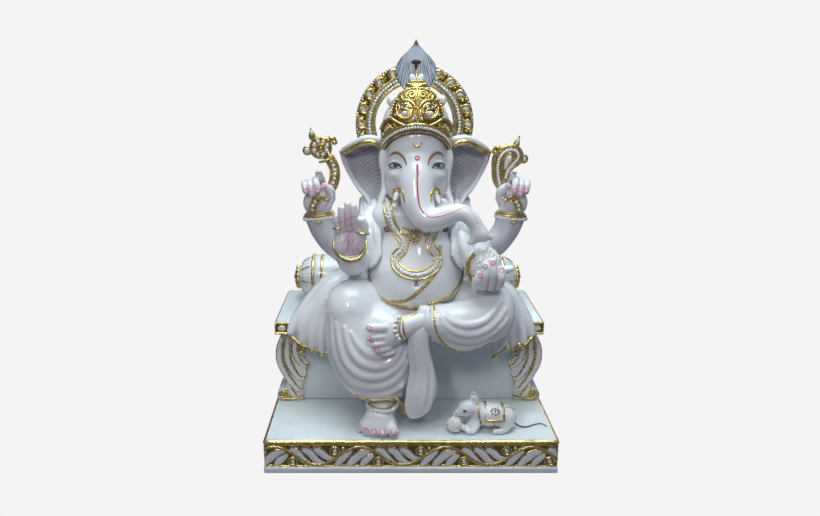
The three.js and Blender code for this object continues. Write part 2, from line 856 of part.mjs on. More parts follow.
const anklet = (at, radii, tube, turn, cutters) =>
  carve(torus(at, radii, tube, turn, 0, 14, 4), ...cutters);
add(
  "anklet_planted",
  anklet([MID_X - 47.5, -105, 83], [20.5, 19.5], 3.4, [-0.25, 0, 0], [
    footLeftForm(GAP),
    legsForm(LEG_LEFT, GAP),
    throneForm(GAP),
  ]),
  pearl,
);
add(
  "anklet_raised",
  anklet([MID_X - 16, -113, 209], [17, 16], 3.4, [0, Math.PI / 2 - 0.25, 0], [
    footRightForm(GAP),
    legsForm(LEG_RIGHT, GAP),
    legsForm(LEG_LEFT, GAP),
    limb(
      [
        [MID_X + 12, -120, 222],
        [MID_X + 8, -124, 196],
        [MID_X + 8, -120, 158],
      ],
      [11, 14, 18],
      GAP,
      10,
      4,
    ),
    torsoForm(GAP),
  ]),
  pearl,
);
add(
  "cuff_front_left",
  carve(
    torus([MID_X - 92, -70, 300], [20, 15], 3.2, [0.5, 0, 0], 0, 14, 4),
    frontArmLeftForm(GAP),
    blessingHandForm(GAP),
    legsForm(LEG_LEFT, GAP),
  ),
  gold,
);

// ---------------------------------------------------------------- mouse

const MOUSE = { at: [MID_X + 107, -110, PLINTH.height + 17], r: [27, 17, 18] };

function mouseForm(grow = 0) {
  const floor = PLINTH.height;
  const haunch = ball([MID_X + 126, -108, floor + 14], [19, 17, 18], grow);
  const chestLine = [[MID_X + 98, -112, floor + 18], [MID_X + 80, -114, floor + 22]];
  const chest = limb(chestLine, [13, 11], grow, 8, 1);
  const head = ball([MID_X + 72, -112, floor + 30], [18, 13, 12], grow, 10, 6, [0, 0.35, 0]);
  const ear = (dy) => sphere([MID_X + 86, -110 + dy, floor + 41], 7, grow, 8, 4);
  const foreleg = limb(
    [
      [MID_X + 90, -120, floor + 16],
      [MID_X + 82, -128, floor + 6],
      [MID_X + 66, -126, floor + 10],
    ],
    [6.5, 5, 4.5],
    grow,
    6,
    3,
  );
  return join(ball(MOUSE.at, MOUSE.r, grow), haunch, chest, head, ear(-8), ear(8), foreleg);
}

function saddleForm(grow = 0) {
  const cover = ball(MOUSE.at, MOUSE.r.map((r) => r + 3.5), grow);
  const [x, y, z] = MOUSE.at;
  return cover.intersect(block([x - 13, y - 40, z - 2], [x + 15, y + 40, z + 40], grow));
}

const mouseSweet = sphere([MID_X + 55, -120, PLINTH.height + 12.5], 12);
add("mouse", carve(mouseForm(), plinthForm(GAP)), marble);
add("mouse_saddle", carve(saddleForm(), mouseForm(GAP)), gold);
add("mouse_sweet", carve(mouseSweet, mouseForm(GAP), plinthForm(GAP)), pearl);

export default idol;
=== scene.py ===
"""Looks of the gilded marble idol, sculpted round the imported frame.

Forms are written in millimetres in the row's frame (+Z up, -Y to the front) and become metres when a
mesh is made. Carved forms are distance fields: balls and limbs blended into each other on a grid,
then skinned. Gilding, pearls and drawn lines are strips and beads pressed onto those skins.
"""

import math

import bpy
import numpy as np
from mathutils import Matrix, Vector
from mathutils.bvhtree import BVHTree


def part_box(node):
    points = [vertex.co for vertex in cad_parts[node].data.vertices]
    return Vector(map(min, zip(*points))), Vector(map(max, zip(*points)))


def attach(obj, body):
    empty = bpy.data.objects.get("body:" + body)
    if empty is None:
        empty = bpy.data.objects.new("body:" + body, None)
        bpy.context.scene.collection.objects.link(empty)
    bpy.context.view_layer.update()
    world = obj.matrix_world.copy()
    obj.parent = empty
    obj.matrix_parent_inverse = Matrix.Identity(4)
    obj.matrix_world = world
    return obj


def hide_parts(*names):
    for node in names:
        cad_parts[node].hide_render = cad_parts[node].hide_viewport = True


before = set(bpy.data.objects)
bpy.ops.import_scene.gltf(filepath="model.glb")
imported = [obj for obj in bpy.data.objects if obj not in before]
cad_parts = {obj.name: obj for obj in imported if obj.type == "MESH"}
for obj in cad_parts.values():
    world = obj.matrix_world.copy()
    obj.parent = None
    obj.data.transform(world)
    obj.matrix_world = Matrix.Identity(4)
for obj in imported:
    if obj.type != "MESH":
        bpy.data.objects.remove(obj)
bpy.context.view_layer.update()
MM = 0.001
FAR = 60.0


def box(node):
    """The lowest and highest corner of a CAD node, in millimetres."""
    low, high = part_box(node)
    return np.array(low) / MM, np.array(high) / MM


def centre(node):
    low, high = box(node)
    return (low + high) / 2


MID = centre("torso")[0]  # the figure's own centre plane
DECK = box("plinth_slab")[1][2]  # top of the plinth
HALO = np.array([centre("halo_inner_moulding")[0], 0, centre("halo_inner_moulding")[2]])


def fig(points, side=1):
    """Points given from the figure's centre plane; side = -1 mirrors them across it."""
    out = np.array(points, float).reshape(-1, 3)
    out[:, 0] = MID + side * out[:, 0]
    return out


# ---------------------------------------------------------------- curves


def smooth_path(points, count):
    """A Catmull-Rom curve through rows of numbers, sampled at count even steps of its length."""
    p = np.asarray(points, float)
    if len(p) < 3:
        t = np.linspace(0, 1, count)[:, None]
        return p[0] * (1 - t) + p[-1] * t
    ends = np.vstack([2 * p[0] - p[1], p, 2 * p[-1] - p[-2]])
    fine = []
    for a, b, c, d in zip(ends, ends[1:], ends[2:], ends[3:]):
        t = np.linspace(0, 1, 12, endpoint=False)[:, None]
        fine.append(
            0.5 * (2 * b + (c - a) * t + (2 * a - 5 * b + 4 * c - d) * t**2 + (3 * b - a - 3 * c + d) * t**3)
        )
    fine = np.vstack(fine + [p[-1:]])
    gaps = np.linalg.norm(np.diff(fine[:, :3], axis=0), axis=1)
    along = np.concatenate([[0], np.cumsum(gaps)])
    at = np.linspace(0, along[-1], count)
    return np.column_stack([np.interp(at, along, fine[:, i]) for i in range(fine.shape[1])])


def ring_points(at, radii, count, first=0.0, last=360.0, tilt=0.0, roll=0.0):
    """Points round an ellipse in the XY plane, tilted about X and then rolled about Y, in degrees."""
    angle = np.radians(np.linspace(first, last, count))
    flat = np.column_stack([radii[0] * np.cos(angle), radii[1] * np.sin(angle), 0 * angle])
    return flat @ turn_matrix((tilt, roll, 0)).T + np.asarray(at, float)


def turn_matrix(degrees):
    """The rotation about X, then Y, then Z."""
    a, b, c = np.radians(degrees)
    about_x = np.array([[1, 0, 0], [0, math.cos(a), -math.sin(a)], [0, math.sin(a), math.cos(a)]])
    about_y = np.array([[math.cos(b), 0, math.sin(b)], [0, 1, 0], [-math.sin(b), 0, math.cos(b)]])
    about_z = np.array([[math.cos(c), -math.sin(c), 0], [math.sin(c), math.cos(c), 0], [0, 0, 1]])
    return about_z @ about_y @ about_x


# ---------------------------------------------------------------- carved forms


def soft_min(a, b, k):
    if k <= 0:
        return np.minimum(a, b)
    h = np.clip(0.5 + 0.5 * (b - a) / k, 0, 1)
    return b * (1 - h) + a * h - k * h * (1 - h)


class Ball:
    """An ellipsoid, turned by Euler degrees."""

    def __init__(self, at, radii, turn=(0, 0, 0)):
        self.at = np.asarray(at, float)
        self.r = np.asarray(radii, float) * np.ones(3)
        self.turn = turn_matrix(turn)
        reach = np.sqrt(((self.turn * self.r) ** 2).sum(axis=1))
        self.low = self.at - reach
        self.high = self.at + reach

    def distance(self, x, y, z):
        d = (x - self.at[0], y - self.at[1], z - self.at[2])
        local = [sum(self.turn[j, i] * d[j] for j in range(3)) for i in range(3)]
        near = np.sqrt(sum((local[i] / self.r[i]) ** 2 for i in range(3)))
        slope = np.sqrt(sum((local[i] / self.r[i] ** 2) ** 2 for i in range(3)))
        return near * (near - 1) / np.maximum(slope, 1e-6)


class Limb:
    """A round form along a smooth curve; each point is x, y, z, radius. flat squeezes its Y depth."""

    def __init__(self, points, steps=None, flat=1.0):
        p = np.asarray(points, float)
        self.flat = flat
        self.path = smooth_path(p, steps or 5 * (len(p) - 1) + 1)
        r = self.path[:, 3:4]
        self.low = (self.path[:, :3] - r).min(axis=0)
        self.high = (self.path[:, :3] + r).max(axis=0)

    def distance(self, x, y, z):
        out = np.full(np.broadcast_shapes(x.shape, y.shape, z.shape), FAR, np.float32)
        for a, b in zip(self.path, self.path[1:]):
            margin = max(a[3], b[3]) + 14
            cut = []
            for axis, values in enumerate((x, y, z)):
                line = values.ravel()
                low = min(a[axis], b[axis]) - margin
                high = max(a[axis], b[axis]) + margin
                cut.append(slice(np.searchsorted(line, low), np.searchsorted(line, high)))
            if any(c.start >= c.stop for c in cut):
                continue
            px = x[cut[0], :, :] - a[0]
            py = (y[:, cut[1], :] - a[1]) / self.flat
            pz = z[:, :, cut[2]] - a[2]
            d = b - a
            dy = d[1] / self.flat
            span = max(d[0] ** 2 + dy**2 + d[2] ** 2, 1e-6)
            t = np.clip((px * d[0] + py * dy + pz * d[2]) / span, 0, 1)
            gap = np.sqrt((px - t * d[0]) ** 2 + (py - t * dy) ** 2 + (pz - t * d[2]) ** 2)
            part = (gap - (a[3] + t * d[3])) * min(1.0, self.flat)
            out[tuple(cut)] = np.minimum(out[tuple(cut)], part)
        return out


class Box:
    """A box with rounded edges."""

    def __init__(self, low, high, edge=1.0):
        self.low = np.asarray(low, float)
        self.high = np.asarray(high, float)
        self.edge = edge

    def distance(self, x, y, z):
        middle = (self.low + self.high) / 2
        half = (self.high - self.low) / 2 - self.edge
        q = [np.abs(v - m) - h for v, m, h in zip((x, y, z), middle, half)]
        outside = np.sqrt(sum(np.maximum(v, 0) ** 2 for v in q))
        inside = np.minimum(np.maximum(np.maximum(q[0], q[1]), q[2]), 0)
        return outside + inside - self.edge


class Clay:
    """A block of space sampled on a grid, in which forms are joined and cut, then skinned."""

    def __init__(self, low, high, step):
        self.low = np.asarray(low, float)
        self.step = step
        count = np.ceil((np.asarray(high, float) - self.low) / step).astype(int) + 1
        self.field = np.full(count, FAR, np.float32)
        self.axes = [(self.low[i] + step * np.arange(count[i])).astype(np.float32) for i in range(3)]

    def window(self, low, high, margin):
        cut = []
        for i in range(3):
            first = np.searchsorted(self.axes[i], low[i] - margin)
            last = np.searchsorted(self.axes[i], high[i] + margin)
            cut.append(slice(first, max(last, first)))
        x, y, z = (self.axes[i][cut[i]] for i in range(3))
        return tuple(cut), x[:, None, None], y[None, :, None], z[None, None, :]

    def add(self, form, k=0.0):
        cut, x, y, z = self.window(form.low, form.high, k + 4)
        if self.field[cut].size:
            self.field[cut] = soft_min(self.field[cut], form.distance(x, y, z), k)
        return self

    def cut(self, form, k=0.0):
        cut, x, y, z = self.window(form.low, form.high, k + 4)
        if self.field[cut].size:
            self.field[cut] = -soft_min(-self.field[cut], form.distance(x, y, z), k)
        return self

    def keep(self, form, k=0.0):
        """Keeps only what is inside the form."""
        x, y, z = self.axes[0][:, None, None], self.axes[1][None, :, None], self.axes[2][None, None, :]
        self.field = -soft_min(-self.field, -form.distance(x, y, z), k)
        return self

    def front(self, x, z):
        """The y of the first surface met from the front at each x and z."""
        out = []
        for px, pz in zip(np.atleast_1d(x), np.atleast_1d(z)):
            i = int(round((px - self.low[0]) / self.step))
            k = int(round((pz - self.low[2]) / self.step))
            i = min(max(i, 1), self.field.shape[0] - 2)
            k = min(max(k, 1), self.field.shape[2] - 2)
            column = self.field[i - 1 : i + 2, :, k - 1 : k + 2].mean(axis=(0, 2))
            inside = np.nonzero(column < 0)[0]
            if len(inside) == 0 or inside[0] == 0:
                out.append(np.nan)
                continue
            j = inside[0]
            t = column[j - 1] / (column[j - 1] - column[j])
            out.append(self.low[1] + self.step * (j - 1 + t))
        out = np.array(out)
        if np.isnan(out).all():
            out[:] = 0.0
        elif np.isnan(out).any():
            good = ~np.isnan(out)
            out[~good] = np.interp(np.nonzero(~good)[0], np.nonzero(good)[0], out[good])
        return out

    def fold(self, points, k=5.0, sink=0.45):
        """A raised fold along x, z, radius points, laid on the front of what is there."""
        p = smooth_path(np.array([[x, z, 0, r] for x, z, r in points]), 4 * len(points))
        y = self.front(p[:, 0], p[:, 1])
        y = np.convolve(np.pad(y, 2, mode="edge"), np.ones(5) / 5, mode="valid")
        rows = np.column_stack([p[:, 0], y + sink * p[:, 3], p[:, 1], p[:, 3]])
        return self.add(Limb(rows, len(rows)), k)

    def skin(self, relax=2):
        """Vertices and quads of the zero surface, by surface nets."""
        f = np.pad(self.field, 1, constant_values=FAR)
        low = self.low - self.step
        solid = f < 0
        corners = np.zeros(tuple(n - 1 for n in f.shape), np.int8)
        steps = [(i, j, k) for i in (0, 1) for j in (0, 1) for k in (0, 1)]

        def shifted(a, s):
            return a[tuple(slice(v, a.shape[n] - 1 + v) for n, v in enumerate(s))]

        for s in steps:
            corners += shifted(solid, s)
        mixed = np.argwhere((corners > 0) & (corners < 8))
        total = np.zeros((len(mixed), 3))
        hits = np.zeros(len(mixed))
        for s in steps:
            for axis in range(3):
                if s[axis]:
                    continue
                e = tuple(v + (n == axis) for n, v in enumerate(s))
                a = f[tuple((mixed + s).T)]
                b = f[tuple((mixed + e).T)]
                cross = (a < 0) != (b < 0)
                t = np.where(cross, a / np.where(cross, a - b, 1), 0)
                place = np.tile(np.array(s, float), (len(mixed), 1))
                place[:, axis] += t
                total += place * cross[:, None]
                hits += cross
        verts = mixed + total / hits[:, None]
        index = np.full(corners.shape, -1, np.int64)
        index[tuple(mixed.T)] = np.arange(len(mixed))
        quads = []
        for axis in range(3):
            u, v = (axis + 1) % 3, (axis + 2) % 3
            first = solid[tuple(slice(0, -1) if n == axis else slice(1, -1) for n in range(3))]
            second = solid[tuple(slice(1, None) if n == axis else slice(1, -1) for n in range(3))]
            for inside, flip in ((first & ~second, False), (second & ~first, True)):
                at = np.argwhere(inside)
                at[:, u] += 1
                at[:, v] += 1
                du, dv = np.eye(3, dtype=int)[u], np.eye(3, dtype=int)[v]
                loop = [at - du - dv, at - dv, at, at - du]
                quad = np.column_stack([index[tuple(c.T)] for c in loop])
                quads.append(quad[:, ::-1] if flip else quad)
        quads = np.vstack(quads)
        for _ in range(relax):
            verts = relaxed(verts, quads)
        return low + verts * self.step, quads


def relaxed(verts, quads, amount=0.5):
    """Each vertex moved towards the mean of its neighbours."""
    a = quads.ravel()
    b = np.roll(quads, -1, axis=1).ravel()
    count = np.bincount(a, minlength=len(verts)) + np.bincount(b, minlength=len(verts))
    out = np.empty_like(verts)
    for i in range(3):
        near = np.bincount(a, verts[b, i], len(verts)) + np.bincount(b, verts[a, i], len(verts))
        out[:, i] = verts[:, i] * (1 - amount) + amount * near / np.maximum(count, 1)
    return out


# ---------------------------------------------------------------- meshes


def join_parts(parts):
    """One mesh's vertices and faces out of several."""
    verts, faces, start = [], [], 0
    for v, f in parts:
        verts.append(v)
        faces.append(f + start)
        start += len(v)
    return np.vstack(verts), np.vstack(faces)


def tube(path, radius, sides=8, closed=False, flat=1.0, normal=None, dome=True):
    """A strip of round section along points; with a normal at each point, flat squeezes it that way."""
    p = np.asarray(path, float)
    n = len(p)
    r = np.broadcast_to(np.asarray(radius, float), (n,)).copy()
    if closed:
        ahead = np.roll(p, -1, axis=0) - np.roll(p, 1, axis=0)
    else:
        ahead = np.gradient(p, axis=0)
    ahead /= np.maximum(np.linalg.norm(ahead, axis=1), 1e-9)[:, None]
    if normal is None:
        up = np.zeros((n, 3))
        seed = np.array([0, -1.0, 0]) if abs(ahead[0, 1]) < 0.9 else np.array([0, 0, 1.0])
        for i in range(n):
            seed = seed - ahead[i] * (seed @ ahead[i])
            seed /= max(np.linalg.norm(seed), 1e-9)
            up[i] = seed
    else:
        up = np.broadcast_to(np.asarray(normal, float), (n, 3)).copy()
        up -= ahead * (up * ahead).sum(axis=1)[:, None]
        up /= np.maximum(np.linalg.norm(up, axis=1), 1e-9)[:, None]
    side = np.cross(ahead, up)
    if not closed and dome:
        bulge = np.array([0.15, 0.7])
        head = [p[0] - ahead[0] * r[0] * math.sqrt(1 - s * s) for s in bulge]
        tail = [p[-1] + ahead[-1] * r[-1] * math.sqrt(1 - s * s) for s in bulge[::-1]]
        p = np.vstack([head, p, tail])
        r = np.concatenate([bulge * r[0], r, bulge[::-1] * r[-1]])
        up = np.vstack([up[:1], up[:1], up, up[-1:], up[-1:]])
        side = np.vstack([side[:1], side[:1], side, side[-1:], side[-1:]])
        n += 4
    angle = np.linspace(0, 2 * math.pi, sides, endpoint=False)
    ring = side[:, None, :] * np.cos(angle)[None, :, None]
    ring = ring + up[:, None, :] * (np.sin(angle) * flat)[None, :, None]
    verts = (p[:, None, :] + ring * r[:, None, None]).reshape(-1, 3)
    rows = np.arange(n if closed else n - 1)
    after = (rows + 1) % n
    k = np.arange(sides)
    k2 = (k + 1) % sides
    quads = np.stack(
        [
            rows[:, None] * sides + k,
            rows[:, None] * sides + k2,
            after[:, None] * sides + k2,
            after[:, None] * sides + k,
        ],
        axis=-1,
    ).reshape(-1, 4)
    if not closed:
        verts = np.vstack([verts, p[:1], p[-1:]])
        first, last = n * sides, n * sides + 1
        end = (n - 1) * sides
        half = np.arange(0, sides, 2)
        cap_a = np.column_stack([0 * half + first, (half + 2) % sides, half + 1, half])
        cap_b = np.column_stack([0 * half + last, end + half, end + half + 1, end + (half + 2) % sides])
        quads = np.vstack([quads, cap_a, cap_b])
    return verts, quads


def bead_mesh(around=10, along=6):
    """A unit sphere of quads: rows of rings with small caps."""
    lat = np.linspace(-math.pi / 2 + 0.25, math.pi / 2 - 0.25, along)
    path = np.column_stack([0 * lat, 0 * lat, np.sin(lat)])
    return tube(path, np.cos(lat), around, dome=False)


def beads(points, radius, around=10, along=6):
    """A round bead at each point."""
    unit, quads = bead_mesh(around, along)
    r = np.broadcast_to(np.asarray(radius, float), (len(points),))
    out = []
    for i, at in enumerate(points):
        out.append((unit * r[i] + at, quads))
    return join_parts(out)


def piece(name, parts, material, nodes=(), values=None):
    """Makes a mesh object, hangs it on the frame and hides the CAD nodes it stands for."""
    verts, quads = join_parts(parts) if isinstance(parts, list) else parts
    mesh = bpy.data.meshes.new(name)
    mesh.vertices.add(len(verts))
    mesh.vertices.foreach_set("co", (verts * MM).astype(np.float32).ravel())
    mesh.loops.add(quads.size)
    mesh.loops.foreach_set("vertex_index", quads.astype(np.int32).ravel())
    mesh.polygons.add(len(quads))
    mesh.polygons.foreach_set("loop_start", np.arange(0, quads.size, 4, dtype=np.int32))
    mesh.update(calc_edges=True)
    mesh.validate()
    mesh.polygons.foreach_set("use_smooth", np.ones(len(mesh.polygons), bool))
    for key, numbers in (values or {}).items():
        layer = mesh.attributes.new(key, "FLOAT", "POINT")
        layer.data.foreach_set("value", np.asarray(numbers, np.float32))
    mesh.materials.append(material)
    made = bpy.data.objects.new(name, mesh)
    bpy.context.collection.objects.link(made)
    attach(made, "root")
    if nodes:
        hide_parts(*nodes)
    return made


class Skin:
    """Finished surfaces that strips and beads are pressed onto."""

    def __init__(self, *shapes):
        verts, quads = join_parts(list(shapes))
        self.tree = BVHTree.FromPolygons([tuple(v) for v in verts.tolist()], quads.tolist())

    def press(self, points, toward=(0, 1, 0), back=120.0):
        """Where rays through the points meet the skin, and the skin's normal there."""
        way = Vector(toward).normalized()
        places, normals = [], []
        for p in np.asarray(points, float):
            start = Vector(p) - way * back
            hit, normal, _, _ = self.tree.ray_cast(start, way, back * 2.5)
            if hit is None:
                hit, normal, _, _ = self.tree.find_nearest(Vector(p))
            if normal.dot(way) > 0:
                normal = -normal
            places.append(hit)
            normals.append(normal)
        return np.array(places), np.array(normals)

    def nearest(self, points):
        places, normals = [], []
        for p in np.asarray(points, float):
            hit, normal, _, _ = self.tree.find_nearest(Vector(p))
            away = Vector(p) - hit
            if away.length > 1e-6 and normal.dot(away) < 0:
                normal = -normal
            places.append(hit)
            normals.append(normal)
        return np.array(places), np.array(normals)

    def row(self, points, radius, lift=0.3, gap=1.9, toward=(0, 1, 0)):
        """A row of touching beads that follows the skin."""
        rough, _ = self.press(smooth_path(points, 10 * len(points)), toward)
        length = np.linalg.norm(np.diff(rough, axis=0), axis=1).sum()
        path = smooth_path(rough, max(2, int(length / (gap * radius)) + 1))
        places, normals = self.press(path, toward)
        return beads(places + normals * radius * lift, radius, around=8, along=5)


def smooth_rows(rows):
    padded = np.pad(rows, ((2, 2), (0, 0)), mode="edge")
    return sum(padded[i : i + len(rows)] for i in range(5)) / 5


# ---------------------------------------------------------------- materials


def shader(name, colour, roughness, metallic=0.0, coat=0.0, subsurface=0.0):
    """A Principled material with its plain values set, and its node tree."""
    made = bpy.data.materials.new(name)
    made.use_nodes = True
    tree = made.node_tree
    bsdf = tree.nodes["Principled BSDF"]
    bsdf.inputs["Base Color"].default_value = (*colour, 1)
    bsdf.inputs["Roughness"].default_value = roughness
    bsdf.inputs["Metallic"].default_value = metallic
    bsdf.inputs["Coat Weight"].default_value = coat
    bsdf.inputs["Coat Roughness"].default_value = 0.08
    bsdf.inputs["Subsurface Weight"].default_value = subsurface
    bsdf.inputs["Subsurface Radius"].default_value = (0.9, 0.95, 1.0)
    bsdf.inputs["Subsurface Scale"].default_value = 0.004
    return made, tree, bsdf


def noise(tree, scale, detail=4.0, distortion=0.0):
    """A noise texture over the object's own coordinates."""
    place = tree.nodes.new("ShaderNodeTexCoord")
    made = tree.nodes.new("ShaderNodeTexNoise")
    made.inputs["Scale"].default_value = scale
    made.inputs["Detail"].default_value = detail
    made.inputs["Distortion"].default_value = distortion
    tree.links.new(place.outputs["Object"], made.inputs["Vector"])
    return made.outputs["Fac"]


def attribute(tree, name):
    made = tree.nodes.new("ShaderNodeAttribute")
    made.attribute_name = name
    return made.outputs["Fac"]


def ramp(tree, value, stops):
    """Colours blended over a value. stops holds (position, colour)."""
    made = tree.nodes.new("ShaderNodeValToRGB")
    while len(made.color_ramp.elements) < len(stops):
        made.color_ramp.elements.new(0.5)
    for element, (at, colour) in zip(made.color_ramp.elements, stops):
        element.position = at
        element.color = (*colour, 1)
    tree.links.new(value, made.inputs["Fac"])
    return made.outputs["Color"]


def marble(name, light=(0.86, 0.885, 0.91), shade=(0.79, 0.815, 0.86), tint=None):
    """Polished white stone with faint cool clouding, mixed towards a tint by each vertex's tint amount: pink
    paint on the blushed copy, painted shade on the shaded copy.
    """
    made, tree, bsdf = shader(name, light, 0.2, coat=0.35, subsurface=0.25)
    cloud = noise(tree, 14, 5, 0.6)
    stone = ramp(tree, cloud, [(0.35, shade), (0.62, light)])
    if tint:
        mix = tree.nodes.new("ShaderNodeMixRGB")
        tree.links.new(attribute(tree, "paint_and_shade_wash"), mix.inputs["Fac"])
        tree.links.new(stone, mix.inputs["Color1"])
        mix.inputs["Color2"].default_value = (*tint, 1)
        stone = mix.outputs["Color"]
    tree.links.new(stone, bsdf.inputs["Base Color"])
    return made


def gold(name, bright=(0.76, 0.62, 0.25), worn=(0.44, 0.32, 0.1)):
    """Burnished leaf with browner, duller patches."""
    made, tree, bsdf = shader(name, bright, 0.26, metallic=0.95)
    patch = noise(tree, 60, 3)
    tree.links.new(ramp(tree, patch, [(0.3, worn), (0.5, bright)]), bsdf.inputs["Base Color"])
    tree.links.new(ramp(tree, patch, [(0.3, (0.42,) * 3), (0.6, (0.22,) * 3)]), bsdf.inputs["Roughness"])
    return made


STONE = (0.78, 0.81, 0.87)
LEAF = (0.76, 0.62, 0.25)
# Dark brown of the relief's hollows: its brown ground, with painted shade.
BROWN_GROUND_AND_SHADE = (0.3, 0.2, 0.07)


def relief_material(name):
    """Carved relief: gilded ridges over a brown ground, with white stone lobes where 'stone' is 1. The gilt
    goes from dark brown where 'height' is low to bright gold at the crests: the brown ground, painted shade
    in the hollows and on the ridges' flanks, and a painted highlight on the crests.
    """
    made, tree, bsdf = shader(name, LEAF, 0.3)
    height = attribute(tree, "height")
    stone = attribute(tree, "stone")
    rough = noise(tree, 260, 4)
    # Dark brown at the foot of each ridge to bright leaf at its crest: painted shade and a painted highlight
    # over the real brown ground.
    leaf = ramp(tree, height, [(0.12, BROWN_GROUND_AND_SHADE), (0.45, (0.52, 0.37, 0.12)), (0.8, LEAF)])
    mix = tree.nodes.new("ShaderNodeMixRGB")
    tree.links.new(stone, mix.inputs["Fac"])
    tree.links.new(leaf, mix.inputs["Color1"])
    mix.inputs["Color2"].default_value = (*STONE, 1)
    tree.links.new(mix.outputs["Color"], bsdf.inputs["Base Color"])
    metal = tree.nodes.new("ShaderNodeMath")
    metal.operation = "MULTIPLY_ADD"
    metal.use_clamp = True
    tree.links.new(stone, metal.inputs[0])
    metal.inputs[1].default_value = -1.0
    metal.inputs[2].default_value = 0.94
    tree.links.new(metal.outputs[0], bsdf.inputs["Metallic"])
    tree.links.new(ramp(tree, rough, [(0.3, (0.42,) * 3), (0.65, (0.2,) * 3)]), bsdf.inputs["Roughness"])
    return made


def lined(name, ground, line):
    """Stone washed with paint where 'wash' is 1, with darker lines where 'line' is 1."""
    made, tree, bsdf = shader(name, ground, 0.36, coat=0.1, subsurface=0.1)
    paint = ramp(tree, attribute(tree, "line"), [(0.15, ground), (0.85, line)])
    mix = tree.nodes.new("ShaderNodeMixRGB")
    tree.links.new(attribute(tree, "paint_and_shade_wash"), mix.inputs["Fac"])
    mix.inputs["Color1"].default_value = (*STONE, 1)
    tree.links.new(paint, mix.inputs["Color2"])
    tree.links.new(mix.outputs["Color"], bsdf.inputs["Base Color"])
    return made


MARBLE = marble("polished_marble")
# SHADED_MARBLE's dark lavender tint is painted shade round the eye sockets. Over the rear arms it is painted
# shade and also the sleeves' greyer stone.
SHADED_MARBLE = marble("shaded_marble", tint=(0.36, 0.37, 0.46))
BLUSHED_MARBLE = marble("blushed_marble", tint=(0.8, 0.5, 0.66))
# A cyan copy of the figure's marble for plinth, seat and throne wall: painted light, the cool sky light on
# their top faces made part of the stone's colour.
PAINTED_SKYLIGHT_MARBLE = marble("painted_skylight_marble", (0.79, 0.87, 0.89), (0.72, 0.8, 0.83))
GOLD = gold("antique_gold")
PEARL = shader("pearl_white", (0.83, 0.83, 0.82), 0.22, coat=0.5, subsurface=0.15)[0]
RELIEF = relief_material("gilt_relief")
EAR_WASH = lined("grey_wash_lines", (0.44, 0.44, 0.5), (0.33, 0.33, 0.38))
PLUME_PAINT = lined("feather_paint", (0.56, 0.64, 0.74), (0.05, 0.06, 0.09))
PINK = shader("pink_paint", (0.76, 0.26, 0.42), 0.4)[0]
ROSE = shader("rose_wash", (0.84, 0.64, 0.74), 0.3)[0]
CRIMSON = shader("crimson_paint", (0.62, 0.02, 0.09), 0.35)[0]
BROWN = shader("brown_paint", (0.2, 0.11, 0.05), 0.45)[0]
DARK = shader("dark_line", (0.03, 0.03, 0.035), 0.4)[0]
IRIS = shader("iris_grey", (0.1, 0.1, 0.12), 0.2, coat=0.4)[0]
SOFT_DARK = shader("soft_dark", (0.1, 0.1, 0.12), 0.4)[0]
BROW_PAINT = shader("brow_paint", (0.33, 0.2, 0.07), 0.4)[0]
SOFT_GREY = shader("soft_grey", (0.55, 0.56, 0.6), 0.3)[0]


# ---------------------------------------------------------------- the figure


def ball(x, y, z, r, turn=(0, 0, 0), side=1):
    """An ellipsoid placed from the figure's centre plane."""
    return Ball(fig((x, y, z), side)[0], r, (turn[0], side * turn[1], side * turn[2]))


def limb(points, flat=1.0, side=1):
    """A limb placed from the figure's centre plane."""
    p = np.array(points, float)
    p[:, :3] = fig(p[:, :3], side)
    return Limb(p, None, flat)


def clay(low, high, step, side=1):
    """A block to carve, given from the figure's centre plane; side = -1 mirrors it."""
    if side < 0:
        low, high = (-high[0], *low[1:]), (-low[0], *high[1:])
    return Clay(fig(low)[0], fig(high)[0], step)


def front_rows(rows):
    """x, z, r rows measured from the figure's centre plane, for folds."""
    return [(MID + x, z, r) for x, z, r in rows]


TRUNK = [
    (0, -34, 422, 26),
    (0, -46, 406, 26.5),
    (0, -54, 392, 24.5),
    (1, -61, 378, 23),
    (6, -68, 365, 21),
    (14, -75, 357, 18.8),
    (25, -80, 357, 16.8),
    (38, -84, 362, 14.6),
    (52, -88, 368, 12.6),
    (64, -91, 367, 11.4),
    (75, -93, 358, 10.6),
    (82, -94, 346, 10),
    (86, -94, 337, 10),
]


def carve_head():
    c = clay((-64, -112, 318), (110, 54, 488), 1.2)
    c.add(ball(0, 2, 434, (48, 43, 48)))
    c.add(ball(0, -10, 440, (43, 40, 43)), 8)
    c.add(ball(0, -12, 456, (42, 39, 38)), 6)
    c.add(ball(0, -18, 418, (41, 33, 34)), 10)
    for s in (-1, 1):
        c.add(ball(25, -21, 402, (20, 25, 28), side=s), 10)
        c.add(ball(24, -24, 386, (15, 17, 14), side=s), 8)
        c.cut(ball(32, -55, 430, (13, 13, 9), side=s), 7)
        c.add(ball(30, -39, 427, (10, 7, 6), side=s), 3)
        c.add(ball(27, -38, 414, (12, 12, 9), side=s), 8)
        c.add(flange(s), 4)
    c.add(limb(TRUNK), 9)
    c.add(limb([(84, -94, 340, 9), (77, -96, 331, 6), (72, -96, 328, 4)]), 6)
    c.add(limb([(86, -94, 340, 9), (93, -95, 336, 6), (100, -94, 335, 4)]), 6)
    c.cut(ball(85, -97, 325, (6, 5, 4)), 3)
    return c


def flange(side):
    """The white edge of the ear that runs down beside the face to the shoulder."""
    path = [
        (45, -12, 452, 4), (49, -15, 432, 5.5), (46, -14, 410, 5), (46, -19, 388, 5), (57, -37, 357, 3.4),
    ]
    return limb(path, side=side)


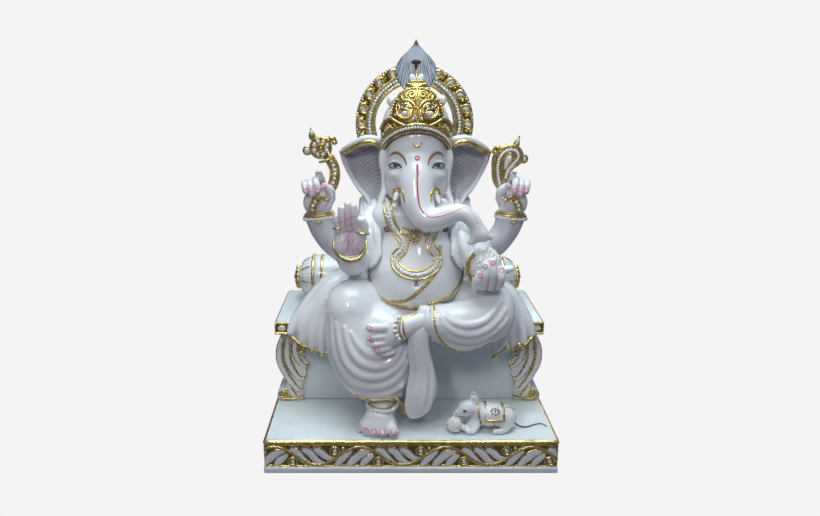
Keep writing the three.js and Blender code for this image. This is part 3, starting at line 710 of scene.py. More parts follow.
def carve_torso():
    c = clay((-90, -102, 206), (90, 56, 396), 1.4)
    c.add(ball(0, -20, 264, (72, 75, 57)))
    c.add(ball(0, -30, 252, (66, 68, 40)), 6)
    c.add(ball(0, -8, 330, (61, 52, 46)), 18)
    c.add(ball(0, -14, 300, (65, 60, 42)), 12)
    c.add(limb([(-60, 4, 346, 25), (0, 2, 354, 32), (60, 4, 346, 25)]), 12)
    c.add(ball(0, 2, 382, (33, 28, 18)), 8)
    for s in (-1, 1):
        c.add(ball(32, -27, 350, (34, 28, 24), side=s), 9)
    c.cut(ball(-1, -98, 269, (2.2, 7, 5)), 3)
    c.cut(ball(-1, -97, 265, (4, 5, 2)), 3)
    return c


def carve_rear_arm(side):
    c = clay((36, -36, 254), (172, 46, 376), 1.4, side)
    path = [
        (58, 8, 348, 23),
        (76, 14, 312, 24),
        (98, 15, 288, 21),
        (120, 9, 298, 19.5),
        (137, 4, 322, 19.5),
        (143, 1, 343, 21.5),
    ]
    c.add(limb(path, side=side))
    c.cut(ball(144, -2, 362, (19, 18, 14), side=side), 2)
    return c


def carve_front_arm_left():
    c = clay((-124, -92, 262), (-46, 26, 356), 1.2)
    c.add(limb([(-70, -12, 334, 23), (-80, -34, 300, 24), (-90, -58, 292, 22), (-94, -66, 303, 22)]))
    c.cut(ball(-95, -76, 326, (20, 16, 26)), 2)
    return c


def carve_front_arm_right():
    c = clay((46, -94, 250), (128, 26, 356), 1.2)
    c.add(limb([(72, -12, 334, 23), (92, -28, 298, 22), (98, -52, 282, 20), (92, -70, 286, 21)]))
    c.add(limb([(60, -26, 336, 15), (68, -48, 314, 14), (76, -62, 292, 12)]), 8)
    return c


def carve_leg_left():
    c = clay((-142, -132, 92), (30, 34, 274), 1.3)
    c.add(limb([(-34, -6, 212, 34), (-68, -38, 222, 36), (-94, -70, 228, 37)]))
    c.add(limb([(-92, -76, 216, 37), (-84, -82, 176, 42), (-66, -84, 142, 42), (-56, -94, 122, 26)]), 8)
    c.add(limb([(-52, -66, 206, 28), (-14, -70, 200, 27), (16, -70, 198, 26)]), 12)
    c.add(limb([(-46, -90, 200, 30), (-38, -88, 160, 34), (-40, -90, 128, 30), (-46, -96, 114, 20)]), 14)
    c.cut(Box((MID - 150, -140, 60), (MID + 10, 40, 102), 0.5), 4)
    hem = [
        (-96, -92, 110, 7), (-78, -106, 105, 7), (-58, -114, 107, 7.5), (-38, -114, 106, 7),
        (-26, -104, 104, 6),
    ]
    c.add(limb(hem), 7)
    for rows in (
        [
            (-126, 226, 1), (-127, 200, 3.5), (-124, 172, 6), (-116, 140, 7.5), (-98, 119, 8),
            (-72, 111, 8), (-44, 114, 7), (-22, 122, 5),
        ],
        [
            (-121, 218, 0.8), (-119, 192, 3), (-114, 164, 5.5), (-100, 140, 7), (-80, 127, 7.5),
            (-54, 125, 7), (-30, 136, 6), (-14, 158, 3),
        ],
        [
            (-113, 214, 0.8), (-109, 188, 3), (-101, 164, 5.5), (-86, 147, 6.5), (-64, 140, 6.5),
            (-42, 144, 6), (-24, 158, 5), (-12, 178, 2),
        ],
        [
            (-102, 210, 0.8), (-96, 188, 3), (-87, 171, 5), (-72, 159, 6), (-52, 155, 6), (-34, 163, 5),
            (-22, 180, 2),
        ],
        [(-92, 204, 0.8), (-84, 190, 3), (-72, 177, 4.5), (-56, 171, 5), (-42, 176, 4), (-34, 186, 1)],
    ):
        c.fold(front_rows(rows), 5, 0.28)
    return c


def carve_leg_right():
    c = clay((-8, -136, 160), (158, 28, 266), 1.3)
    c.add(limb([(40, -6, 212, 34), (78, -34, 220, 36), (107, -64, 223, 37)]))
    c.add(limb([(106, -72, 210, 36), (70, -88, 208, 33), (40, -97, 212, 26), (22, -102, 215, 22)]), 8)
    c.add(limb([(34, -100, 196, 13), (52, -98, 188, 15), (78, -92, 186, 16), (104, -80, 192, 14)]), 10)
    for rows in (
        [
            (30, 238, 1.5), (38, 228, 3.5), (50, 220, 4.5), (70, 215, 5), (92, 219, 4), (108, 230, 2),
            (118, 242, 0.8),
        ],
        [
            (29, 234, 1.5), (36, 219, 4), (50, 208, 5), (71, 202, 5.5), (96, 206, 4.5), (114, 218, 2.5),
            (126, 232, 0.8),
        ],
        [
            (28, 224, 1.5), (36, 207, 4), (51, 195, 5), (72, 190, 5.5), (96, 194, 4.5), (116, 206, 2.5),
            (128, 218, 0.8),
        ],
        [(27, 226, 2), (31, 204, 4), (41, 188, 4.5), (62, 178, 5), (88, 181, 4), (108, 190, 1.5)],
    ):
        c.fold(front_rows(rows), 4.5, 0.25)
    for x in (20, 27):
        c.fold(front_rows([(x, 240, 2.5), (x + 1, 216, 3.5), (x + 3, 192, 3.5)]), 3, 0.2)
    return c


def carve_foot_raised():
    c = clay((-80, -146, 162), (10, -88, 236), 0.9)
    c.add(limb([(6, -108, 216, 15), (-12, -112, 212, 15), (-30, -116, 205, 17), (-42, -119, 198, 16)], 0.8))
    c.add(ball(-38, -118, 204, (17, 11, 22), (0, 20, 0)), 6)
    for base, tip, r in RAISED_TOES:
        c.add(limb([(*base, r), (*tip, r * 0.93)]), 2.2)
    return c


RAISED_TOES = [
    ((-46, -125, 214), (-65, -131, 216), 6.6),
    ((-48, -127, 202), (-66, -133, 202), 5.2),
    ((-44, -127, 193), (-61, -133, 192), 5.0),
    ((-39, -126, 185), (-54, -131, 183), 4.8),
    ((-34, -124, 178), (-46, -128, 175), 4.6),
]

PLANTED_TOES = [
    ((-39, -122, 67), (-33, -135, 60.5), 8.4),
    ((-50, -122, 66), (-48, -136, 59.5), 6.7),
    ((-59, -120, 65), (-60.5, -134, 58.5), 6.2),
    ((-67, -117, 63), (-71.5, -129, 58), 5.8),
    ((-73, -112, 62), (-80.5, -121, 57.5), 5.5),
]


def carve_foot_planted():
    c = clay((-92, -150, 50), (-16, -78, 112), 0.9)
    c.add(limb([(-48, -98, 104, 16), (-49, -103, 88, 18), (-53, -112, 72, 21)]))
    c.add(ball(-55, -116, 62, (28, 22, 15)), 8)
    for base, tip, r in PLANTED_TOES:
        c.add(limb([(*base, r), (*tip, r * 0.95)]), 2.2)
    c.cut(Box((MID - 100, -160, 30), (MID, -60, DECK + 0.1), 0.2), 0)
    return c


BLESSING_FINGERS = [
    [(-109, -80, 340), (-111, -83, 352), (-112, -84, 361)],
    [(-101, -82, 344), (-104, -85, 360), (-105, -86, 373)],
    [(-93, -83, 346), (-95, -87, 364), (-96, -88, 379)],
    [(-85, -82, 344), (-86, -86, 362), (-87, -87, 376)],
]


def carve_hand_blessing():
    c = clay((-124, -100, 294), (-62, -60, 390), 0.8)
    c.add(ball(-95, -74, 322, (21.5, 12, 23)))
    c.add(ball(-97, -78, 336, (19, 8, 13)), 6)
    c.add(ball(-82, -82, 322, (9, 8, 14), (0, 12, 0)), 4)
    c.add(ball(-107, -82, 320, (8.5, 7, 14)), 4)
    for row, r in zip(BLESSING_FINGERS, (5.6, 5.9, 6.0, 5.8)):
        c.add(limb([(*row[0], r + 0.2), (*row[1], r), (*row[2], r - 0.9)]), 1.0)
    c.add(limb([(-80, -82, 330, 8), (-74, -85, 345, 6.6), (-77, -88, 357, 5.8)]), 3)
    return c


GIVING_FINGERS = [
    [(82, -100, 268), (83, -107, 277), (85, -107, 285)],
    [(91, -104, 268), (92, -111, 284), (92, -109, 298)],
    [(102, -104, 268), (103, -111, 288), (102, -108, 303)],
    [(113, -100, 268), (115, -107, 281), (115, -103, 291)],
]


def carve_hand_giving():
    c = clay((70, -122, 254), (142, -58, 314), 0.8)
    c.add(ball(99, -88, 271, (24, 20, 11)))
    for row, r in zip(GIVING_FINGERS, (6.2, 6.4, 6.5, 6.0)):
        c.add(limb([(*row[0], r + 1), (*row[1], r + 0.2), (*row[2], r - 0.6)]), 1.8)
    c.add(limb([(110, -88, 276, 8), (119, -93, 286, 6.4), (130, -95, 290, 5.2)]), 3)
    c.cut(ball(95, -84, 296, 22.6), 0.8)
    return c


REAR_FINGERS = [
    [(158, 2, 380), (162, -8, 395), (162, -17, 394), (160, -21, 386)],
    [(151, 2, 382), (154, -10, 397), (153, -21, 394), (151, -24, 383)],
    [(143, 2, 384), (146, -10, 401), (145, -22, 398), (142, -25, 387)],
    [(137, 2, 388), (139, -8, 402), (141, -13, 409), (142, -16, 414)],
]


def carve_hand_rear(side):
    c = clay((112, -38, 338), (176, 24, 414), 0.9, side)
    c.add(ball(145, -3, 367, (21.5, 17, 20), side=side))
    c.add(ball(134, -10, 367, (11, 11, 15), side=side), 5)
    c.add(ball(156, -10, 366, (8, 9, 14), side=side), 5)
    for row in REAR_FINGERS:
        c.add(limb([(*row[0], 6), (*row[1], 5.8), (*row[2], 5.3), (*row[3], 4.9)], side=side), 1.6)
    c.add(limb([(127, -10, 374, 9), (125, -20, 387, 6.8), (132, -26, 394, 5.4)], side=side), 3)
    return c


def carve_stole(side):
    """Cloth over the shoulder, in long folds that gather in front of the arm."""
    c = clay((40, -76, 274), (94, 44, 394), 1.1, side)
    tops = [(56, 8, 371), (61, 7, 372), (66, 6, 371), (71, 5, 368), (76, 4, 363)]
    feet = [(53, -60, 300), (56, -62, 295), (59, -63, 290), (62, -62, 286), (65, -60, 284)]
    for i, (top, foot) in enumerate(zip(tops, feet)):
        middle = (55 + 5 * i, -39 - 1.5 * (i % 2), 340)
        high = (top[0] + 1, -13, top[2] - 8)
        r = 6.2 - 0.4 * (i % 2)
        rows = [(*top, r), (*high, r), (*middle, r - 0.6), (*foot, 3.4)]
        c.add(limb(rows, side=side), 1.6)
        c.add(limb([(*top, r), (top[0] + 2, 18, 366, r), (top[0] + 4, 34, 336, r)], side=side), 1.6)
    return c


def carve_drape(side):
    """The lower garment spread over the seat beside the leg, its folds falling past the seat's edge."""
    inner, low, high = (76, 138, 272) if side < 0 else (84, 134, 262)
    c = clay((inner, -66, low), (196, 24, high), 1.3, side)
    folds = LEFT_FOLDS if side < 0 else RIGHT_FOLDS
    for path in folds:
        c.add(limb(path, side=side), 4)
        behind = [(x - 3, y + 14, z - 4, r + 5) for x, y, z, r in path]
        c.add(limb(behind, side=side), 8)
    c.cut(Box((-214, -100, 120), (214, -12.5, 134), 0.5), 1)
    return c


LEFT_FOLDS = [
    [(96, -6, 260, 6), (128, -16, 250, 8), (158, -26, 222, 8), (180, -36, 190, 8), (187, -42, 176, 6)],
    [(98, -16, 260, 6), (128, -28, 246, 8), (150, -36, 218, 8), (166, -44, 188, 8), (170, -48, 166, 6)],
    [(100, -28, 256, 6), (126, -38, 236, 8), (143, -44, 208, 8), (152, -50, 180, 8), (154, -52, 158, 6)],
    [(104, -36, 250, 6), (122, -46, 224, 8), (133, -50, 196, 8), (138, -54, 172, 8), (139, -56, 152, 6)],
    [(106, -36, 240, 6), (116, -46, 210, 8), (124, -48, 180, 8), (126, -50, 150, 6)],
]

RIGHT_FOLDS = [
    [(112, -14, 250, 6), (140, -24, 238, 8), (158, -32, 214, 8), (170, -38, 190, 8), (176, -42, 174, 6)],
    [(114, -24, 248, 6), (140, -34, 226, 8), (152, -40, 200, 8), (160, -44, 178, 7), (163, -46, 164, 6)],
    [(118, -30, 240, 6), (136, -40, 210, 8), (143, -44, 184, 8), (147, -46, 160, 6)],
    [(120, -34, 220, 6), (128, -42, 190, 8), (132, -44, 166, 7), (132, -46, 155, 5)],
    [(112, -34, 200, 5), (118, -40, 176, 7), (121, -42, 152, 5), (121, -42, 143, 4)],
]


def carve_sash():
    """The long end of cloth that falls from the waist between the legs to the plinth."""
    c = clay((-30, -140, 50), (40, -82, 250), 1.2)
    c.add(
        limb(
            [
                (11, -98, 227, 11), (5, -109, 210, 13), (3, -109, 180, 15), (8, -106, 146, 18),
                (8, -105, 114, 21),
            ],
            0.72,
        )
    )
    c.add(limb([(8, -105, 118, 20.5), (5, -106, 98, 20.5), (-1, -107, 85, 17)], 0.8), 6)
    for rows in (
        [
            (4, 232, 2), (-6, 210, 4.5), (-9, 180, 4.5), (-6, 146, 4.5), (-10, 112, 5), (-13, 88, 4),
            (-8, 74, 2),
        ],
        [(8, 234, 2), (0, 210, 4.5), (-2, 180, 4.5), (3, 146, 4.5), (0, 112, 5), (-4, 88, 4.5), (-5, 74, 2)],
        [(12, 234, 2), (7, 210, 4), (5, 182, 4.5), (12, 146, 5), (11, 114, 5.5), (6, 90, 5), (0, 76, 2)],
        [(16, 234, 2), (13, 210, 3.5), (12, 180, 4), (21, 146, 4.5), (22, 118, 5), (16, 90, 5), (6, 76, 2)],
    ):
        c.fold(front_rows(rows), 3.5, 0.3)
    return c


FORMS = {
    "head_with_trunk": (carve_head, ("head", "trunk")),
    "torso_body": (carve_torso, ("torso",)),
    "rear_arm_left": (lambda: carve_rear_arm(-1), ("arm_rear_left",)),
    "rear_arm_right": (lambda: carve_rear_arm(1), ("arm_rear_right",)),
    "front_arm_left": (carve_front_arm_left, ("arm_front_left",)),
    "front_arm_right": (carve_front_arm_right, ("arm_front_right",)),
    "leg_left_cloth": (carve_leg_left, ("leg_hanging_left",)),
    "leg_right_cloth": (carve_leg_right, ("leg_folded_right",)),
    "raised_foot": (carve_foot_raised, ("foot_raised",)),
    "planted_foot": (carve_foot_planted, ("foot_planted",)),
    "blessing_hand": (carve_hand_blessing, ("hand_blessing",)),
    "giving_hand": (carve_hand_giving, ("hand_giving",)),
    "rear_hand_left": (lambda: carve_hand_rear(-1), ("hand_rear_left",)),
    "rear_hand_right": (lambda: carve_hand_rear(1), ("hand_rear_right",)),
    "stole_cloth_left": (lambda: carve_stole(-1), ("stole_left",)),
    "stole_cloth_right": (lambda: carve_stole(1), ("stole_right",)),
    "drape_cloth_left": (lambda: carve_drape(-1), ("drape_left",)),
    "drape_cloth_right": (lambda: carve_drape(1), ("drape_right",)),
    "sash_cloth": (carve_sash, ("sash_hanging",)),
}

# Painted shade: the dark tint round the eye sockets and over the rear arms. The blushed hands carry pink
# paint.
PAINT_AND_SHADE_WASHES = {
    "rear_arm_left": (SHADED_MARBLE, [(-125, 305, 120, 120, 0.3)]),
    "rear_arm_right": (SHADED_MARBLE, [(125, 305, 120, 120, 0.3)]),
    "head_with_trunk": (SHADED_MARBLE, [(-31, 428, 12, 8, 0.6), (31, 428, 12, 8, 0.6)]),
    "blessing_hand": (BLUSHED_MARBLE, [(-90, 322, 12, 20, 0.45), (-98, 356, 14, 12, 0.3)]),
    "rear_hand_left": (BLUSHED_MARBLE, [(-150, 392, 16, 7, 0.4), (-140, 366, 12, 12, 0.25)]),
    "rear_hand_right": (BLUSHED_MARBLE, [(150, 392, 16, 7, 0.4), (140, 366, 12, 12, 0.25)]),
}


def paint_and_shade_amount(verts, spots):
    """How strongly a skin is tinted: soft ovals given as x, z, half width, half height and strength. The tint
    is painted shade round the eye sockets and over the rear arms, and pink paint on the palms and fingers.
    """
    amount = np.zeros(len(verts))
    for x, z, wide, high, strength in spots:
        away = ((verts[:, 0] - MID - x) / wide) ** 2 + ((verts[:, 2] - z) / high) ** 2
        amount += strength * np.exp(-away)
    return amount


shape = {}
for name, (carver, nodes) in FORMS.items():
    shape[name] = carver().skin()
    material, spots = PAINT_AND_SHADE_WASHES.get(name, (MARBLE, []))
    values = {"paint_and_shade_wash": paint_and_shade_amount(shape[name][0], spots)} if spots else None
    piece(name, shape[name], material, nodes, values)

body_skin = Skin(*(shape[n] for n in ("torso_body", "leg_left_cloth", "leg_right_cloth", "front_arm_left")))
face_skin = Skin(shape["head_with_trunk"])


# ---------------------------------------------------------------- carved relief


class Relief:
    """A height map across u and up v in millimetres, gilded on its ridges and white on its lobes."""

    def __init__(self, width, height, step, low=0.0):
        self.u = np.linspace(0, width, int(width / step) + 1)
        self.v = np.linspace(low, low + height, int(height / step) + 1)
        self.height = np.zeros((len(self.u), len(self.v)))
        # Each gilt ridge's rounding, 1 on its crest: the shader paints crests bright and flanks dark, a
        # painted highlight and painted shade.
        self.painted_crest_light = np.zeros_like(self.height)
        self.stone = np.zeros_like(self.height)

    def stroke(self, points, steps=6):
        """Distance to a tapering stroke over its own radius there, inside a small window."""
        p = smooth_path(points, steps * len(points)) if len(points) > 1 else np.vstack([points, points])
        reach = p[:, 2].max() * 1.05
        cu = slice(*np.searchsorted(self.u, [p[:, 0].min() - reach, p[:, 0].max() + reach]))
        cv = slice(*np.searchsorted(self.v, [p[:, 1].min() - reach, p[:, 1].max() + reach]))
        u, v = self.u[cu][:, None], self.v[cv][None, :]
        best = np.full((u.shape[0], v.shape[1]), 9.0)
        for a, b in zip(p, p[1:]):
            d = b - a
            t = np.clip(((u - a[0]) * d[0] + (v - a[1]) * d[1]) / max(d[0] ** 2 + d[1] ** 2, 1e-9), 0, 1)
            gap = np.hypot(u - a[0] - t * d[0], v - a[1] - t * d[1])
            best = np.minimum(best, gap / (a[2] + t * d[2]))
        return (cu, cv), best

    def ridge(self, points, rise=1.0):
        """A rounded gilt ridge along u, v, radius points."""
        cut, q = self.stroke(points)
        dome = np.sqrt(np.clip(1 - q * q, 0, 1))
        top = dome * rise
        wins = top > self.height[cut]
        self.height[cut] = np.where(wins, top, self.height[cut])
        self.stone[cut] = np.where(wins & (dome > 0.3), 0, self.stone[cut])
        self.painted_crest_light[cut] = np.maximum(self.painted_crest_light[cut], dome)

    def lobe(self, points, rise=1.0, rim=0.26):
        """A domed white lobe with a gilt outline."""
        cut, q = self.stroke(points)
        edge = 1 - rim
        dome = np.sqrt(np.clip(1 - (q / edge) ** 2, 0, 1)) * 0.9
        outline = np.sqrt(np.clip(1 - ((q - edge) / rim) ** 2, 0, 1))
        top = np.maximum(dome, outline * 0.85) * rise
        wins = top > self.height[cut]
        self.height[cut] = np.where(wins, top, self.height[cut])
        self.stone[cut] = np.where(wins, np.clip((edge - 0.04 - q) / 0.1 + 0.5, 0, 1), self.stone[cut])
        self.painted_crest_light[cut] = np.where(wins, outline, self.painted_crest_light[cut])

    def mesh(self, place):
        """The sheet put in space by place(u, v, height), with its shader values."""
        u, v = np.meshgrid(self.u, self.v, indexing="ij")
        verts = place(u.ravel(), v.ravel(), self.height.ravel())
        index = np.arange(u.size).reshape(u.shape)
        loop = [index[:-1, :-1], index[1:, :-1], index[1:, 1:], index[:-1, 1:]]
        quads = np.stack([c.ravel() for c in loop], axis=1)
        return (verts, quads), self.painted_crest_light.ravel(), self.stone.ravel()


def relief_piece(name, sheets, nodes=()):
    """Joins sheets of relief into one gilded piece."""
    shapes, painted_crest_light, stone = zip(*sheets)
    # The painted crest light goes into the 'height' value that the relief shader reads.
    values = {"height": np.concatenate(painted_crest_light), "stone": np.concatenate(stone)}
    return piece(name, list(shapes), RELIEF, nodes, values)


# ---------------------------------------------------------------- plinth

VINE = 122.2  # one repeat of the vine round the plinth
PLINTH_LOW, PLINTH_HIGH = box("plinth_slab")
FRIEZE_LOW, FRIEZE_HIGH = box("plinth_scroll_frieze")


def vine(relief, start):
    """One repeat: an arch of stem with leaves and a bud under it, then leaves hanging in the dip."""
    stem = [
        (start + VINE * t, 26.5 + 14.2 * math.cos(2 * math.pi * t), 2.6)
        for t in np.linspace(-0.52, 0.52, 15)
    ]
    under = [
        [(-34, 13, 3), (-26, 22, 5.2), (-14, 33, 3)],
        [(-17, 12, 3.4), (-9, 21, 5.8), (2, 30, 5), (13, 33.5, 2.4)],
        [(2, 12, 3), (8, 20, 5.4), (17, 26.5, 3)],
    ]
    hanging = [
        [(-35, 36, 3.8), (-28, 31, 5.4), (-20, 21, 4.8), (-8, 12, 2.4)],
        [(-18, 36, 3.8), (-10, 31, 5.4), (-2, 21, 4.8), (9, 13.5, 2.4)],
        [(-1, 36, 3.8), (6, 31.5, 5.2), (13, 25, 4.6), (24, 21, 2.2)],
    ]
    for shift, leaves in ((0, under), (VINE / 2, hanging)):
        for leaf in leaves:
            relief.lobe([(start + shift + u, v, 1.2 * r) for u, v, r in leaf], 1.8, 0.24)
    for u in (-32, -16, 0):
        arc = [
            (start + VINE / 2 + u + 6.5 * c, 37.5 + 4.5 * s, 1.3)
            for c, s in ((-1, 0), (-0.6, 0.8), (0.6, 0.8), (1, 0))
        ]
        relief.ridge(arc, 1.9)
    for u in (-22, -5):
        relief.ridge([(start + u - 6, 12, 1.3), (start + u, 10.5, 1.3), (start + u + 6, 12, 1.3)], 1.6)
    relief.ridge(stem, 2.6)
    for u, v in ((26, 17.5), (VINE / 2 + 25, 34)):
        turn = np.radians(np.linspace(0, 360, 13))
        relief.ridge([(start + u + 6.6 * math.cos(a), v + 5.9 * math.sin(a), 1.7) for a in turn], 2.2)
        relief.lobe([(start + u, v, 3.9)], 2.0)
    relief.lobe([(start + VINE / 2 + 37, 38, 2.6)], 1.4)


def frieze(width, first):
    """A strip of the running vine. first is where its first arch peaks."""
    relief = Relief(width, FRIEZE_HIGH[2] - FRIEZE_LOW[2] + 0.6, 0.6, FRIEZE_LOW[2] - 0.3)
    at = first - VINE
    while at < width + VINE:
        vine(relief, at)
        at += VINE
    for v in (FRIEZE_HIGH[2] - 0.6, FRIEZE_LOW[2] + 0.4):
        relief.ridge([(0, v, 1.3), (width / 2, v, 1.3), (width, v, 1.3)], 1.4)
    return relief


def build_plinth():
    low, high = PLINTH_LOW, PLINTH_HIGH
    back = FRIEZE_LOW[1] + 3.4
    side = FRIEZE_HIGH[0] - 3.4
    width, depth = high[0] - low[0], high[1] - low[1]
    front = frieze(width - 2, 14.5).mesh(lambda u, v, h: np.column_stack([low[0] + 1 + u, back - h, v]))
    sides = [
        frieze(depth - 2, 40).mesh(lambda u, v, h: np.column_stack([side + h, low[1] + 1 + u, v])),
        frieze(depth - 2, 40).mesh(lambda u, v, h: np.column_stack([-side - h, high[1] - 1 - u, v])),
    ]
    relief_piece("plinth_vine_relief", [front, *sides], ("plinth_scroll_frieze",))
    foot = rounded_box(low, (high[0], high[1], low[2] + 9.4), 2.2)
    body = rounded_box(low + (4.4, 4.4, 5), (high[0] - 4.4, high[1] - 0.2, high[2] - 0.4), 0.8)
    piece("plinth_stone", [foot, body], PAINTED_SKYLIGHT_MARBLE, ("plinth_slab",))
    z = high[2] - 4.2
    corners = [(low[0] + 3.6, high[1] - 2, z), (low[0] + 3.6, low[1] + 3.6, z)]
    corners += [(high[0] - 3.6, low[1] + 3.6, z), (high[0] - 3.6, high[1] - 2, z)]
    bars = [tube(straight(a, b, 60), 3.5, 12, flat=1.0) for a, b in zip(corners, corners[1:])]
    lips = [
        tube(straight(np.add(a, (0, 0, -4.4)), np.add(b, (0, 0, -4.4)), 60), 1.4)
        for a, b in zip(corners, corners[1:])
    ]
    piece("plinth_gilt_moulding", bars + lips, GOLD, ("plinth_top_moulding",))


def straight(a, b, count):
    t = np.linspace(0, 1, count)[:, None]
    return np.asarray(a, float) * (1 - t) + np.asarray(b, float) * t


def rounded_box(low, high, edge, cells=5):
    """A box mesh whose edges are rounded."""
    low, high = np.asarray(low, float), np.asarray(high, float)
    verts, quads, start = [], [], 0
    ticks = []
    for i in range(3):
        inner = np.linspace(low[i] + edge, high[i] - edge, cells)
        ticks.append(
            np.concatenate([[low[i], low[i] + edge * 0.45], inner, [high[i] - edge * 0.45, high[i]]])
        )
    for axis in range(3):
        u, v = (axis + 1) % 3, (axis + 2) % 3
        for value, flip in ((low[axis], True), (high[axis], False)):
            a, b = np.meshgrid(ticks[u], ticks[v], indexing="ij")
            p = np.zeros((a.size, 3))
            p[:, u], p[:, v], p[:, axis] = a.ravel(), b.ravel(), value
            index = np.arange(a.size).reshape(a.shape) + start
            loop = [index[:-1, :-1], index[1:, :-1], index[1:, 1:], index[:-1, 1:]]
            q = np.stack([c.ravel() for c in loop], axis=1)
            verts.append(p)
            quads.append(q[:, ::-1] if flip else q)
            start += a.size
    verts, quads = np.vstack(verts), np.vstack(quads)
    core = np.clip(verts, low + edge, high - edge)
    out = verts - core
    length = np.linalg.norm(out, axis=1, keepdims=True)
    verts = core + out / np.maximum(length, 1e-9) * np.minimum(length, edge)
    keys = np.round(verts, 4)
    unique, back = np.unique(keys, axis=0, return_inverse=True)
    return unique, np.asarray(back).reshape(-1)[quads]


# ---------------------------------------------------------------- throne and seat


def build_seat():
    low, high = box("seat_slab")
    stone = rounded_box(low, (high[0], high[1] - 0.3, high[2]), 1.0)
    piece("seat_stone", stone, PAINTED_SKYLIGHT_MARBLE, ("seat_slab",))
    low, high = box("seat_edge_band")
    tall = high[2] - low[2]
    runs = [
        ((low[0], low[1] + 1.8), (high[0], low[1] + 1.8), (0, -1)),
        ((high[0] - 1.8, low[1]), (high[0] - 1.8, high[1] - 2), (1, 0)),
        ((low[0] + 1.8, high[1] - 2), (low[0] + 1.8, low[1]), (-1, 0)),
    ]
    sheets = []
    for a, b, out in runs:
        length = math.hypot(b[0] - a[0], b[1] - a[1])
        relief = Relief(length, tall, 0.6, low[2])
        for v in (low[2] + 1.6, high[2] - 1.6):
            relief.ridge([(0, v, 1.9), (length / 2, v, 1.9), (length, v, 1.9)], 2.0)
        count = round(length / 20.5)
        for i in range(count):
            u = (i + 0.5) * length / count
            middle = (low[2] + high[2]) / 2
            relief.lobe([(u - 2.5, middle, 4.6), (u + 2.5, middle, 4.6)], 2.2, 0.3)
            for s in (-1, 1):
                edge = u + s * length / count / 2
                relief.ridge(
                    [(edge - s, middle - 5, 1.2), (edge, middle, 1.6), (edge - s, middle + 5, 1.2)], 1.6,
                )
        along = np.array([b[0] - a[0], b[1] - a[1]]) / length

        def place(u, v, h, a=a, along=along, out=out):
            return np.column_stack([a[0] + along[0] * u + out[0] * h, a[1] + along[1] * u + out[1] * h, v])

        sheets.append(relief.mesh(place))
    relief_piece("seat_gilt_band", sheets, ("seat_edge_band",))


LEG_OUTLINE = [
    (168, 0), (190, 0), (203, 0), (206.5, 4), (207, 10), (204, 16), (197, 20), (191, 25), (193, 34),
    (199, 46),
    (205, 60), (207, 74), (206, 88), (202, 100), (196, 108), (176, 111), (158, 111), (154, 100), (156, 90),
    (163, 82), (160, 72), (154, 62), (160, 52), (158, 44), (163, 36), (166, 22), (163, 10),
]

LEG_FEATHERS = [
    [
        (197, 104, 4), (201, 88, 6), (201, 66, 6.8), (194, 46, 6.6), (184, 30, 5.6), (174, 18, 4),
        (167, 18, 2.6),
    ],
    [(187, 105, 4), (189, 88, 6.4), (189, 70, 7), (182, 52, 6), (172, 38, 4.6), (162, 37, 3)],
    [(176, 103, 4), (177, 88, 6), (174, 72, 6.2), (167, 61, 4.6), (159, 57, 2.8)],
    [(167, 74, 3.4), (161, 68, 3)],
    [(192, 30, 3.6), (187, 18, 5), (181, 9, 5)],
]


def leg_relief():
    """The bracket's face: long white feathers edged in gold, with a volute above and below."""
    relief = Relief(56, 112, 0.6)
    shift = 153
    for feather in LEG_FEATHERS:
        relief.lobe([(x - shift, z, r) for x, z, r in feather], 3.2, 0.46)
    for middle, r, first, turns in (((197, 11), 9, 200, 1.6), ((165, 89), 9, -20, 1.5)):
        angles = np.radians(first - 360 * turns * np.linspace(0, 1, 28))
        shrink = np.linspace(1, 0.15, 28)
        coil = [
            (middle[0] - shift + r * s * math.cos(a), middle[1] + r * s * math.sin(a), 2.3)
            for a, s in zip(angles, shrink)
        ]
        relief.ridge(coil, 3.6)
    relief.ridge([(164 - shift, 8, 1.9), (180 - shift, 3, 1.9), (200 - shift, 2.4, 1.9)], 3.2)
    relief.ridge(
        [(x - shift, z, 1.8) for x, z in ((155, 100), (157, 90), (162, 82), (159, 72), (154, 62))], 3.0,
    )
    relief.ridge(
        [(x - shift, z, 1.8) for x, z in ((154, 62), (160, 52), (158, 44), (164, 36), (166, 22), (163, 8))],
        3.0,
    )
    return relief


def build_throne():
    low, high = box("throne_block")
    wall = rounded_box(low, (high[0], high[1] - 0.2, high[2]), 1.0)
    piece("throne_wall", wall, PAINTED_SKYLIGHT_MARBLE, ("throne_block",))
    for side, name in ((-1, "left"), (1, "right")):
        low, high = box(f"throne_leg_{name}")
        outline = np.array([(side * x, z + low[2]) for x, z in smooth_path(LEG_OUTLINE, 120)])
        front = low[1] + 4.2
        block = extrude(outline, front, high[1] - 0.3, 1.4)
        piece(f"throne_leg_{name}_stone", block, MARBLE, (f"throne_leg_{name}",))
        relief = leg_relief()

        def place(u, v, h, side=side, front=front, base=low[2]):
            return np.column_stack([side * (153 + u), front + 0.9 - h - 0.2, base + v])

        (verts, quads), painted_crest_light, stone = relief.mesh(place)
        inside = within(outline, verts[:, 0], verts[:, 2])
        keep = inside[quads].all(axis=1) & (relief.height.ravel()[quads].max(axis=1) > 0.3)
        if side < 0:
            quads = quads[:, ::-1]
        values = {"height": painted_crest_light, "stone": stone}
        piece(
            f"throne_leg_{name}_feathers", compact(verts, quads[keep], values), RELIEF,
            values=values,
        )


def compact(verts, quads, values):
    """Drops vertices that no face uses, from the mesh and from its values."""
    used = np.unique(quads)
    index = np.full(len(verts), -1)
    index[used] = np.arange(len(used))
    for key in values:
        values[key] = values[key][used]
    return verts[used], index[quads]


